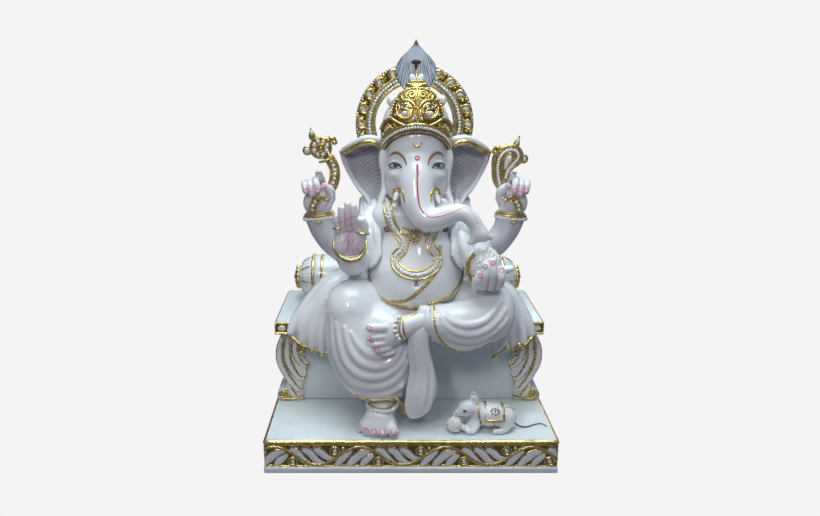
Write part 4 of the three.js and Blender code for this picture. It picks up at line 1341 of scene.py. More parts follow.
def within(outline, x, z):
    """Whether each point is inside a closed outline."""
    inside = np.zeros(np.broadcast_shapes(x.shape, z.shape), bool)
    for (ax, az), (bx, bz) in zip(outline, np.roll(outline, -1, axis=0)):
        crosses = (az > z) != (bz > z)
        at = ax + (bx - ax) * (z - az) / (bz - az if bz != az else 1e-9)
        inside ^= crosses & (x < at)
    return inside


def extrude(outline, front, back, edge):
    """An outline in XZ given depth, its front edge rounded. The caps are strips across the outline."""
    loop = np.asarray(outline, float)
    if signed_area(loop) < 0:
        loop = loop[::-1]
    n = len(loop)
    ahead = np.roll(loop, -1, axis=0) - np.roll(loop, 1, axis=0)
    out = np.column_stack([ahead[:, 1], -ahead[:, 0]]) / np.linalg.norm(ahead, axis=1)[:, None]
    rows = [(front, edge), (front + edge * 0.3, edge * 0.3), (front + edge, 0), (back, 0)]
    verts = np.vstack(
        [
            np.column_stack([loop[:, 0] - out[:, 0] * inset, np.full(n, y), loop[:, 1] - out[:, 1] * inset])
            for y, inset in rows
        ]
    )
    k = np.arange(n)
    k2 = (k + 1) % n
    quads = [
        np.column_stack([r * n + k, r * n + k2, (r + 1) * n + k2, (r + 1) * n + k])
        for r in range(len(rows) - 1)
    ]
    top = int(np.argmax(loop[:, 1]))
    order = (top + np.arange(n)) % n
    a, b = order[1 : n // 2], order[: n // 2 - 1]
    c, d = order[::-1][: n // 2 - 1], order[::-1][1 : n // 2]
    cap = np.column_stack([b, a, d, c])
    quads += [cap[:, ::-1], cap + 3 * n]
    return verts, np.vstack(quads)


def signed_area(loop):
    x, z = loop[:, 0], loop[:, 1]
    return 0.5 * np.sum(x * np.roll(z, -1) - np.roll(x, -1) * z)


# ---------------------------------------------------------------- bolster


def build_bolster():
    low, high = box("bolster")
    r = (high[2] - low[2]) / 2
    middle = (low + high) / 2
    half = (high[0] - low[0]) / 2
    xs = np.concatenate([-half + 30 * np.linspace(0, 1, 22) ** 1.4, np.linspace(-half + 34, 0, 16)])
    xs = np.concatenate([xs, -xs[::-1][1:]])
    inside = half - np.abs(xs)
    depths, shares = [0, 3, 8, 16, 30, 50, half], [0.48, 0.6, 0.76, 0.9, 0.975, 1.0, 1.0]
    radius = np.interp(inside, depths, shares) * r
    sides = 96
    angle = np.linspace(0, 2 * math.pi, sides, endpoint=False)
    pleat = np.clip(1 - inside / 34, 0, 1)[:, None] * 2.2 * np.cos(16 * angle)[None, :]
    reach = radius[:, None] - np.abs(pleat)
    verts = np.stack(
        [
            np.broadcast_to(xs[:, None] + middle[0], reach.shape), middle[1] + reach * np.cos(angle),
            middle[2] + reach * np.sin(angle),
        ],
        axis=-1,
    )
    n = len(xs)
    verts = verts.reshape(-1, 3)
    rows, k = np.arange(n - 1)[:, None], np.arange(sides)[None, :]
    k2 = (k + 1) % sides
    quads = np.stack(
        [rows * sides + k, (rows + 1) * sides + k, (rows + 1) * sides + k2, rows * sides + k2], axis=-1,
    ).reshape(-1, 4)
    piece("bolster_roll", (verts, quads), MARBLE, ("bolster",))
    bands = []
    for x in (-154, -140, 140, 154):
        ring = [
            (middle[0] + x, middle[1] + (r + 0.2) * math.cos(a), middle[2] + (r + 0.2) * math.sin(a))
            for a in angle[::2]
        ]
        normal = [(0, math.cos(a), math.sin(a)) for a in angle[::2]]
        bands.append(tube(ring, 2.3, 8, True, 0.35, normal))
    for side in (-1, 1):
        for a in np.linspace(0, 2 * math.pi, 8, endpoint=False):
            way = np.array([0, math.cos(a), math.sin(a)])
            path = [
                middle + way * np.interp(d, depths, shares) * r + (side * (half - d), 0, 0)
                for d in (4, 8, 13, 19)
            ]
            bands.append(tube(smooth_path(path, 8), 0.8, 6, normal=way))
    piece("bolster_gilt_bands", bands, GOLD)
    for side, name in ((-1, "left"), (1, "right")):
        low, high = box(f"bolster_rosette_{name}")
        at = (low + high) / 2
        inner = low[0] if side > 0 else high[0]
        parts = []
        for ring, (count, radius, petal, out) in enumerate(
            ((14, 16.5, 3.6, 3.0), (9, 9.5, 3.6, 6.0), (1, 0, 4.4, 8.4))
        ):
            angles = np.linspace(0, 2 * math.pi, count, endpoint=False) + ring * 0.2
            spots = [
                (inner + side * out * 0.7, at[1] + radius * math.cos(a), at[2] + radius * math.sin(a))
                for a in angles
            ]
            parts.append(beads(spots, petal))
        back = [(inner + side * d, at[1], at[2]) for d in (0.3, 2.0, 3.6, 4.6)]
        parts.append(tube(back, [19, 18, 13, 6], 28, dome=False))
        piece(f"bolster_rosette_{name}_gilt", parts, GOLD, (f"bolster_rosette_{name}",))


build_plinth()
build_seat()
build_throne()
build_bolster()


# ---------------------------------------------------------------- thin carved leaves


def outline_distance(outline, x, z):
    """Signed distance to a closed outline in XZ, negative inside."""
    loop = np.asarray(outline, float)
    best = np.full(np.broadcast_shapes(x.shape, z.shape), 1e9)
    for (ax, az), (bx, bz) in zip(loop, np.roll(loop, -1, axis=0)):
        dx, dz = bx - ax, bz - az
        t = np.clip(((x - ax) * dx + (z - az) * dz) / max(dx * dx + dz * dz, 1e-9), 0, 1)
        best = np.minimum(best, np.hypot(x - ax - t * dx, z - az - t * dz))
    return np.where(within(loop, x, z), -best, best)


class Leaf:
    """A thin form inside an XZ outline whose middle surface is y = surface(x, z, depth)."""

    def __init__(self, outline, surface, thick, y_range, edge=1.5):
        self.outline = np.asarray(outline, float)
        self.surface = surface
        self.thick = thick
        self.edge = edge
        low, high = self.outline.min(axis=0), self.outline.max(axis=0)
        self.low = np.array([low[0], y_range[0], low[1]])
        self.high = np.array([high[0], y_range[1], high[1]])

    def distance(self, x, y, z):
        flat = outline_distance(self.outline, x, z)
        middle = self.surface(x, z, -flat)
        a = flat + self.edge
        b = np.abs(y - middle) - self.thick + self.edge
        return np.hypot(np.maximum(a, 0), np.maximum(b, 0)) + np.minimum(np.maximum(a, b), 0) - self.edge


# ---------------------------------------------------------------- ears

EAR_OUTLINE = [
    (43, 450), (52, 459), (62, 463), (73, 463), (86, 459), (100, 450), (111, 441), (108, 426), (102, 411),
    (94, 396), (85, 384), (75, 375), (68, 366), (61, 351), (52, 366), (45, 385), (42, 410), (42, 432),
]
EAR_FOLDS = 14


def ear_phase(x, z, side):
    """A value that is constant along each of the nested arched folds of the ear's inner face."""
    across = side * (x - MID)
    return np.hypot((across - 50) / 52, (z - 360) / 86)


def ear_curl(z):
    """How far the ear's lower end comes forward over the shoulder."""
    return 0.0095 * np.maximum(412 - z, 0) ** 2


def build_ear(side, name):
    outline = fig([(x, 0, z) for x, z in EAR_OUTLINE], side)[:, [0, 2]]

    def surface(x, z, depth):
        across = side * (x - MID)
        dish = 9.5 * (1 - (1 - np.clip((depth - 3) / 18, 0, 1)) ** 2)
        folds = np.sin(2 * math.pi * EAR_FOLDS * ear_phase(x, z, side)) * np.clip((depth - 5) / 4, 0, 1)
        return 1 + 0.14 * (across - 45) + dish + 0.28 * folds - ear_curl(z)

    c = clay((38, -44, 342), (116, 32, 470), 0.9, side)
    c.add(Leaf(outline, surface, 2.6, (-38, 26), 2.0))
    roll = [
        (44, -4, 446, 3.4), (50, -6, 456, 4.6), (62, -7, 460.5, 5.2), (74, -6, 460.5, 5.2),
        (87, -2, 455.5, 4.8), (100, 5, 448, 4), (110, 10, 440.5, 2.4),
    ]
    c.add(limb(roll, side=side), 2)
    edge = [
        (110, 11, 440, 2.6), (105, 12, 424, 3.2), (98, 12, 409, 3.2), (90, 11, 396, 3), (80, 8, 383, 3),
        (70, 5, 371, 3), (61, 2, 353, 2.4),
    ]
    edge = [(x, y - ear_curl(z), z, r) for x, y, z, r in edge]
    c.add(limb(edge, side=side), 2)
    verts, quads = c.skin(1)
    across = side * (verts[:, 0] - MID)
    depth = -outline_distance(outline, verts[:, 0], verts[:, 2])
    front = verts[:, 1] < surface(verts[:, 0], verts[:, 2], depth)
    phase = ear_phase(verts[:, 0], verts[:, 2], side)
    lines = np.clip(0.2 - 0.8 * np.sin(2 * math.pi * EAR_FOLDS * phase), 0, 1)
    inner = np.clip((depth - 5.5) / 2, 0, 1) * front
    values = {
        "line": lines * inner,
        "paint_and_shade_wash": np.where(front, np.clip(inner + 0.45 * (across > 46) * (verts[:, 2] < 446), 0, 1), 0.1),
    }
    piece(f"ear_{name}_leaf", (verts, quads), EAR_WASH, (f"ear_{name}",), values)
    path = fig(
        [
            (51, -9, 430), (50.5, -11, 442), (55, -12.5, 452), (64, -12.5, 456.5), (75, -11.5, 456),
            (87, -7.5, 451), (99, -1, 443.5), (109.5, 6, 438.5),
        ],
        side,
    )
    path = smooth_path(path, 70)
    t = np.linspace(0, 1, 70)
    radius = np.interp(t, [0, 0.2, 0.45, 0.85, 1], [1.2, 2.4, 3.6, 2.8, 2.0])
    lip = [tube(path, radius, 12)]
    inner_lip = path + (0, -0.5, -3.4)
    lip.append(tube(inner_lip[8:-6], radius[8:-6] * 0.42, 8))
    piece(f"ear_{name}_gilt_lip", lip, GOLD, (f"ear_rim_{name}",))


# ---------------------------------------------------------------- halo


def around_halo(radius, count, y, first=0.0):
    a = np.linspace(0, 2 * math.pi, count, endpoint=False) + first
    return np.column_stack([HALO[0] + radius * np.sin(a), np.full(count, y), HALO[2] + radius * np.cos(a)])


def turned_ring(profile, count=160):
    """A ring round the halo's axis from a closed profile of radius, y rows."""
    profile = np.asarray(profile, float)
    n = len(profile)
    a = np.linspace(0, 2 * math.pi, count, endpoint=False)[:, None]
    verts = np.stack(
        [HALO[0] + profile[:, 0] * np.sin(a), profile[:, 1] + 0 * a, HALO[2] + profile[:, 0] * np.cos(a)],
        axis=-1,
    )
    rows, k = np.arange(count)[:, None], np.arange(n)[None, :]
    after, k2 = (rows + 1) % count, (k + 1) % n
    quads = np.stack([rows * n + k, rows * n + k2, after * n + k2, after * n + k], axis=-1).reshape(-1, 4)
    return verts.reshape(-1, 3), quads


def build_halo():
    front = box("halo_inner_moulding")[0][1]
    back = box("halo_ring")[1][1]
    inner, outer = 59.8, 88.2
    stone = [
        (inner, front + 6), (inner + 1, front + 4.4), (outer - 2, front + 4.4), (outer - 0.4, front + 6),
        (outer - 0.4, back - 2), (outer - 2.4, back - 0.2), (inner + 2, back - 0.2), (inner, back - 2),
    ]
    low, high = box("halo_ring")
    bridge = rounded_box((low[0] + 54, 34, low[2] + 1), (high[0] - 54, back - 1, HALO[2] - 72), 3)
    piece("halo_stone_ring", [turned_ring(stone), bridge], MARBLE, ("halo_ring",))
    gilt = [
        tube(around_halo(63.0, 200, front + 2.6), 3.3, 12, True),
        tube(around_halo(73.2, 200, front + 2.4), 1.7, 8, True),
    ]
    piece("halo_gilt_mouldings", gilt, GOLD, ("halo_inner_moulding",))
    piece(
        "halo_pearls", beads(around_halo(68.6, 90, front + 1.2), 2.6), PEARL,
        ("halo_bead_row",),
    )

    count = 22
    step = 360 / count
    middle = 81.0
    arc = 2 * math.pi * middle / count
    relief = Relief(arc * count, 17.5, 0.55, 72.4)
    for i in range(-1, count + 1):
        u = (i + 0.5) * arc
        relief.lobe([(u - 1.4, 78.5, 2.8), (u - 0.4, 81.2, 3.8), (u + 1.8, 83.8, 2.2)], 3.0, 0.24)
        scroll = [(u - 5.6, 76.5, 1.9), (u - 5.8, 82, 2.3), (u - 1.5, 86.2, 2.4), (u + 4.2, 86, 2.4)]
        relief.ridge(scroll + [(u + 7.6, 82.6, 2.3), (u + 6.4, 79, 2.0), (u + 4.4, 80.4, 1.6)], 3.8)
        relief.ridge([(u - 7, 74.6, 1.9), (u - 2, 74.6, 1.9), (u + 3.4, 76, 1.9), (u + 6, 78.8, 1.7)], 3.2)
        relief.ridge([(u + 10.6, 86.2, 2.3), (u + 11.2, 86.2, 2.3)], 3.4)
        relief.ridge([(u + 10.2, 78.4, 1.5), (u + 10.6, 81.5, 1.7)], 3.2)

    def place(u, v, h):
        a = u / arc * math.radians(step)
        return np.column_stack([HALO[0] + v * np.sin(a), front + 3.9 - h, HALO[2] + v * np.cos(a)])

    (verts, quads), painted_crest_light, stone_value = relief.mesh(place)
    relief_piece(
        "halo_scroll_relief", [((verts, quads[:, ::-1]), painted_crest_light, stone_value)],
        ("halo_scroll_band",),
    )
    edge = around_halo(88.0, 132, front + 4.0)
    piece("halo_edge_beads_gilt", beads(edge[::2], 1.9, around=8, along=5), GOLD)
    piece("halo_edge_beads_pearl", beads(edge[1::2], 1.9, around=8, along=5), PEARL)


# ---------------------------------------------------------------- crown and plume

CREST_OUTLINE = [
    (-52, 444), (-51, 474), (-46, 488), (-37, 494), (-35, 504), (-31, 515), (-24, 525), (-12, 531), (0, 533),
    (12, 531), (24, 525), (31, 515), (35, 504), (37, 494), (46, 488), (51, 474), (52, 444), (48, 456),
    (38, 470), (21, 480.5), (0, 484.5), (-21, 480.5), (-38, 470), (-48, 456),
]


def crown_front(x, z, depth=0):
    """The y of the crown's front."""
    inside = 1 - ((x - MID) / 55) ** 2 - ((z - 474) / 70) ** 2
    return 4 - 52 * np.sqrt(np.clip(inside, 0.04, 1))


def on_crown(rows, lift=0.0):
    p = np.array([(MID + x, 0, z) for x, z in rows], float)
    p = smooth_path(p, 10 * len(rows))
    p[:, 1] = crown_front(p[:, 0], p[:, 2]) - 3.0 - lift
    return p


def spiral(x, z, r, first, turns, shrink=0.2, count=40):
    t = np.linspace(0, 1, count)
    a = np.radians(first + 360 * turns * t)
    s = r * (1 - (1 - shrink) * t)
    return [(x + q * math.cos(b), z + q * math.sin(b)) for q, b in zip(s, a)]


def gem(x, z, r, lift=0.6, tall=1.0):
    y = crown_front(MID + x, z) - 3.0 - lift
    return Ball((MID + x, y, z), (r, r * 0.6, r * tall))


def build_crown():
    c = clay((-56, -62, 440), (56, 52, 562), 1.2)
    c.add(ball(0, 4, 480, (48.5, 43, 44)))
    c.cut(Box((MID - 80, -90, 400), (MID + 80, 90, 452), 0.5), 2)
    for s in (-1, 1):
        c.add(ball(26, -4, 516, (16.5, 9.5, 7), (0, -8, 0), side=s), 3)
        c.add(ball(35.5, -6, 513, (6.8, 6.8, 6.2), side=s), 3)
        c.add(ball(5.6, -6, 542.5, (5.6, 5.6, 9.5), (0, 10, 0), side=s), 1.5)
    c.add(ball(0, 2, 530, (14, 12, 14)), 5)
    c.add(limb([(0, 12, 530, 8), (0, 22, 540, 6)]), 4)
    piece("crown_dome", c.skin(), MARBLE, ("crown_turban",))

    outline = fig([(x, 0, z) for x, z in CREST_OUTLINE])[:, [0, 2]]
    c = clay((-57, -58, 440), (57, 14, 545), 1.0)
    c.add(Leaf(outline, crown_front, 3.0, (-56, 10), 1.5))
    base = c.skin(1)
    count = len(base[0])
    values = {"height": np.full(count, 0.22), "stone": np.zeros(count)}
    piece("crown_crest_ground", base, RELIEF, ("crown_crest_plate",), values)

    gilt, white = [], []
    swoop = [
        (-51, 476), (-46, 486), (-37, 491), (-26, 486), (-12, 481), (0, 482), (12, 481), (26, 486),
        (37, 491), (46, 486), (51, 476),
    ]
    gilt.append(tube(on_crown(swoop, 0.8), 2.1, 10))
    lower = [
        (-49, 468), (-40, 473), (-26, 480), (-12, 484), (0, 485.5), (12, 484), (26, 480), (40, 473),
        (49, 468),
    ]
    gilt.append(tube(on_crown(lower, 0.2), 1.1, 8))
    for s in (-1, 1):
        coils = [
            (spiral(s * 17, 503, 14.5, 90 + s * 75, -s * 1.3, 0.55), 2.0, 1.2),
            (spiral(s * 17.5, 501, 10.2, 90 + s * 30, -s * 1.1, 0.4), 1.5, 1.4),
            (spiral(s * 12, 511, 5.2, 90 - s * 60, s * 1.2, 0.3), 1.3, 1.6),
            (spiral(s * 22, 510, 4.6, 90, -s * 1.2, 0.3), 1.2, 1.6),
            (spiral(s * 42, 477, 6.2, 90, s * 1.4, 0.3), 1.4, 0.8),
            (spiral(s * 33, 481.5, 4.2, 0, s * 1.3, 0.3), 1.2, 0.8),
            (spiral(s * 8, 524, 5.5, 90 - s * 90, s * 1.3, 0.3), 1.4, 1.2),
            (spiral(s * 18, 521, 4.6, 90, -s * 1.3, 0.3), 1.2, 1.2),
        ]
        gilt += [tube(on_crown(rows, lift)[:: len(rows) // 16 or 1], r, 8) for rows, r, lift in coils]
        white += [
            gem(s * 17.5, 498.5, 4.6, 1.2, 0.9), gem(s * 14, 508, 2.2, 1.6), gem(s * 21, 506.5, 2.0, 1.6),
        ]
        white += [
            gem(s * 30, 497, 2.2), gem(s * 12, 515.5, 2.3, 1), gem(s * 42, 477, 2.6, 1),
            gem(s * 47, 469, 2.4),
        ]
        white += [gem(s * 5.5, 492, 2.2), gem(s * 27, 517, 1.8)]
        edge = [(s * x, z) for x, z in ((37, 493), (35, 504), (31, 515), (24, 525), (12, 531), (0, 533))]
        gilt.append(tube(on_crown(edge, 0), 1.5, 8))
        gilt.append(beads(on_crown(edge, 1.0)[::4], 1.7, around=8, along=5))
    gilt.append(tube(on_crown([(0, 485), (-2.2, 496), (0, 508), (2.2, 518), (0, 530)], 1.2), 1.2, 8))
    gilt.append(tube(on_crown([(0, 485), (2.2, 496), (0, 508), (-2.2, 518), (0, 530)], 1.2), 1.2, 8))
    gilt.append(ball_mesh(Ball((MID, -8, 534), (17, 20, 8)), 28, 12))
    for r, z, n in ((17, 531, 13), (13.5, 537, 11), (8.5, 541, 8)):
        a = np.radians(np.linspace(195, 345, n))
        spots = [(MID + r * math.cos(t), -8 + 1.18 * r * math.sin(t), z) for t in a]
        gilt.append(beads(spots, 2.5, around=8, along=5))
    stem = [(MID, -10, 540), (MID, -8, 546), (MID, 8, 551), (MID, 16, 556)]
    gilt.append(beads(smooth_path(stem, 8), 1.8, around=8, along=5))
    piece("crown_filigree", gilt, GOLD)
    piece("crown_gems", [ball_mesh(b) for b in white], PEARL)


def ball_mesh(form, around=14, along=9):
    """A ball form as a mesh."""
    unit, quads = bead_mesh(around, along)
    return (unit * form.r) @ form.turn.T + form.at, quads


BROW = [
    (50, 8, 434), (50, -3, 441), (48, -15, 451), (43, -28, 460), (34, -39, 469), (23, -47, 475.5),
    (12, -51.5, 479), (0, -53, 480.5),
]


def brow_path(lift, drop):
    """The crown's lower edge, from behind one ear over the brow to behind the other, and round the back."""
    half = [(x, y, z - drop) for x, y, z in BROW]
    back = [(46, 24, 438 - drop * 0.5), (26, 43, 446 - drop * 0.5)]
    right = fig(back[::-1] + half)
    left = fig(back[::-1] + half, -1)[::-1][1:]
    loop = smooth_path(np.vstack([right, left, right[:1]]), 170)[:-1]
    normals = loop - fig((0, 2, 440))[0]
    normals[:, 2] *= 0.4
    normals /= np.linalg.norm(normals, axis=1)[:, None]
    return loop + normals * lift, normals


def build_brow_band():
    gilt = [tube(brow_path(1.2, -3.9)[0], 2.1, 10, True), tube(brow_path(0.2, 4.4)[0], 2.0, 10, True)]
    ground, normals = brow_path(-2.2, 0.2)
    piece("brow_gilt_lines", gilt, GOLD, ("crown_brow_band",))
    piece("brow_ground", tube(ground, 6.5, 12, True, 0.7, normals), BROWN)
    row = brow_path(1.6, 0.2)[0]
    gaps = np.linalg.norm(np.diff(row, axis=0, append=row[:1]), axis=1)
    along = np.concatenate([[0], np.cumsum(gaps)])
    count = int(along[-1] / 4.3)
    at = np.linspace(0, along[-1], count, endpoint=False)
    closed = np.vstack([row, row[:1]])
    spots = np.column_stack([np.interp(at, along, closed[:, i]) for i in range(3)])
    piece("brow_pearls", beads(spots, 2.35), PEARL)


PLUME_OUTLINE = [
    (0, 600), (4, 592), (11, 584), (21, 575), (28, 565), (30, 555), (28, 545), (22, 535), (15, 526),
    (9, 521),
    (-9, 521), (-15, 526), (-22, 535), (-28, 545), (-30, 555), (-28, 565), (-21, 575), (-11, 584), (-4, 592),
]


def build_plume():
    outline = fig([(x, 0, z) for x, z in PLUME_OUTLINE])[:, [0, 2]]
    middle = box("crown_plume")[0][1] + 4.5

    def surface(x, z, depth):
        return middle - 1.6 * np.clip(depth / 14, 0, 1)

    c = clay((-34, 14, 516), (34, 34, 604), 0.7)
    c.add(Leaf(outline, surface, 2.6, (16, 30), 1.6))
    verts, quads = c.skin(1)
    x, z = verts[:, 0] - MID, verts[:, 2]
    depth = -outline_distance(outline, verts[:, 0], verts[:, 2])
    fan = np.arctan2(x * 1.15, 622 - z) * 46
    reach = np.hypot(x, z - 622)
    hair = np.sin(
        fan * 2.6 + 0.9 * np.sin(reach * 0.13 + 2 * np.sin(fan))
    ) + 0.35 * np.sin(fan * 4.3 + 0.12 * reach)
    dash = 0.75 + 0.25 * np.sin(reach * 0.2 + 4.0 * np.sin(fan * 1.3))
    calm = np.clip(np.hypot(x / 12, (z - 578) / 13) - 0.5, 0.12, 1)
    line = np.clip((hair - 0.05) * 2.2, 0, 1) * dash * calm
    line = np.maximum(line, np.clip((1.5 - depth) / 1.0, 0, 0.75))
    line = np.maximum(line, np.clip((z - 587) / 8, 0, 0.8))
    values = {"line": line, "paint_and_shade_wash": np.ones(len(x))}
    piece("plume_leaf", (verts, quads), PLUME_PAINT, ("crown_plume",), values)
    face = middle - 4.6
    rim = ball_mesh(Ball((MID, face + 0.9, 567.5), (8.6, 1.6, 4.8)))
    piece("plume_eye_rim", rim, SOFT_GREY)
    eye = ball_mesh(Ball((MID, face - 0.1, 568), (7.2, 1.5, 3.6)))
    stem = tube(
        smooth_path([(MID, face + 0.3, 565), (MID, face + 0.3, 558), (MID, face + 0.3, 548)], 12),
        [2.2] * 4 + [1.2] * 8, 8,
    )
    piece("plume_eye", [eye, stem], DARK)


for side, name in ((-1, "left"), (1, "right")):
    build_ear(side, name)
build_halo()
build_crown()
build_brow_band()
build_plume()


# ---------------------------------------------------------------- lines, hems and jewels pressed on the stone


def line_on(skin, points, radius, flat=0.5, lift=0.0, steps=None, side=1, taper=False, toward=(0, 1, 0)):
    """A strip pressed onto a skin through x, y, z points from the figure's centre plane."""
    path = smooth_path(fig(points, side), steps or 8 * len(points))
    places, normals = skin.press(path, toward)
    normals = smooth_rows(normals)
    width = radius * (np.sin(np.linspace(0.12, math.pi - 0.12, len(path))) ** 0.5 if taper else 1)
    return tube(places + normals * lift, width, 8, False, flat, normals)


def offset_rows(points, amount):
    """The same x, y, z path moved sideways in the XZ plane."""
    p = smooth_path(points, 10 * len(points))
    ahead = np.gradient(p, axis=0)
    side = np.column_stack([-ahead[:, 2], 0 * ahead[:, 0], ahead[:, 0]])
    side /= np.maximum(np.linalg.norm(side, axis=1), 1e-9)[:, None]
    return p + side * amount


def ring_on(skin, at, radii, radius, flat=0.5, lift=0.0, side=1, tilt=0.0, toward=(0, 1, 0)):
    """A small closed loop pressed round a point on the front."""
    a = np.linspace(0, 2 * math.pi, 20, endpoint=False)
    u, w = radii[0] * np.cos(a), radii[1] * np.sin(a)
    t = math.radians(tilt)
    x, y, z = fig(at, side)[0]
    path = np.column_stack(
        [x + u * math.cos(t) - w * math.sin(t), y + 0 * a, z + u * math.sin(t) + w * math.cos(t)]
    )
    places, normals = skin.press(path, toward)
    return tube(places + normals * lift, radius, 6, True, flat, normals)


def patch_on(skin, at, radii, side=1, tilt=0.0, thick=0.6, toward=(0, 1, 0)):
    """A thin painted oval lying on the skin."""
    places, normals = skin.press(fig(at, side), toward)
    unit, quads = bead_mesh(16, 9)
    n = Vector(normals[0])
    frame_turn = np.array(n.to_track_quat("Y", "Z").to_matrix())
    t = math.radians(tilt)
    spin = np.array([[math.cos(t), 0, -math.sin(t)], [0, 1, 0], [math.sin(t), 0, math.cos(t)]])
    local = (unit * (radii[0], thick, radii[1])) @ spin.T
    return local @ frame_turn.T + places[0], quads


NECKLACE = [
    (-43, -60, 378), (-38, -70, 351), (-29, -76, 334), (-19, -80, 322), (-20, -84, 311), (-29, -88, 301),
    (-29, -92, 290), (-17, -96, 282), (0, -98, 279), (17, -96, 283), (28, -92, 291), (28, -88, 303),
    (21, -84, 313), (19, -80, 324), (27, -78, 338),
]
THREAD = [(34, -78, 315), (32, -86, 297), (27, -90, 284), (11, -95, 266), (-14, -95, 244), (-36, -92, 238)]
BELT = [
    (-75, -50, 263), (-66, -66, 250), (-52, -82, 241), (-36, -90, 235), (-16, -95, 232), (5, -96, 234),
    (33, -90, 241), (55, -78, 250), (68, -58, 262), (72, -46, 272),
]


def build_necklace():
    white, gilt = [], []
    middle = fig(NECKLACE)
    strap = smooth_path(middle, 90)
    places, normals = body_skin.press(strap)
    white.append(tube(places + normals * 0.2, 5.6, 10, False, 0.26, smooth_rows(normals)))
    white.append(body_skin.row(middle, 2.5, 0.9, 1.9))
    for shift in (-5.2, 5.2):
        edge, edge_normals = body_skin.press(offset_rows(middle, shift))
        gilt.append(tube(edge + edge_normals * 0.8, 1.8, 8, False, 0.8, smooth_rows(edge_normals)))
    place, normal = body_skin.press(fig((-4, -82, 327)))
    at = place[0] + normal[0] * 1.5
    gilt.append(beads([at], 4.2))
    for count, far, r in ((8, 6.2, 2.3), (14, 9.6, 1.5)):
        a = np.linspace(0, 2 * math.pi, count, endpoint=False)
        spots = [(at[0] + far * math.cos(t), at[1], at[2] + far * math.sin(t)) for t in a]
        gilt.append(beads(body_skin.press(spots)[0] + normal[0] * 1.0, r, around=8, along=5))
    for row in (
        [(-18, 0, 340), (-8, 0, 336), (4, 0, 335)], [(-22, 0, 332), (-14, 0, 330)],
        [(6, 0, 329), (16, 0, 331)],
    ):
        gilt.append(body_skin.row(fig(row), 2.0, 0.4, 1.9))
    piece("necklace_gilt", gilt, GOLD, ("necklace",))
    piece("necklace_pearls", white, PEARL)
    thread = []
    torso_skin = Skin(shape["torso_body"])
    for shift, r in ((-1.5, 1.2), (1.5, 1.2)):
        edge, edge_normals = body_skin.press(offset_rows(fig(THREAD), shift))
        thread.append(tube(edge + edge_normals * 0.5, r, 8, False, 0.8, smooth_rows(edge_normals)))
    thread.append(line_on(torso_skin, BELT, 1.9, 0.8, 0.4, 90))
    thread.append(line_on(torso_skin, [(x, y, z - 4) for x, y, z in BELT[2:8]], 1.0, 0.8, 0.4, 60))
    piece("sacred_thread_gilt", thread, GOLD, ("sacred_thread",))


def build_body_marks():
    brown = []
    for side in (-1, 1):
        brown.append(ring_on(body_skin, (42, -62, 336), (3.6, 3.6), 1.3, 0.6, 0.1, side))
        brown.append(patch_on(body_skin, (42, -62, 336), (1.7, 1.7), side, 0, 1.0))
    brown.append(line_on(body_skin, [(-1, -98, 273), (-1, -98, 266)], 0.7, 0.6, 0.2, 10, taper=True))
    brown.append(line_on(body_skin, [(-3, -98, 264.5), (-1, -98, 266), (1, -98, 264.5)], 0.7, 0.6, 0.2, 10))
    piece("body_marks", brown, BROWN)


EYE = (30.5, -42, 427)


RING = np.linspace(0, 2 * math.pi, 24, endpoint=False)


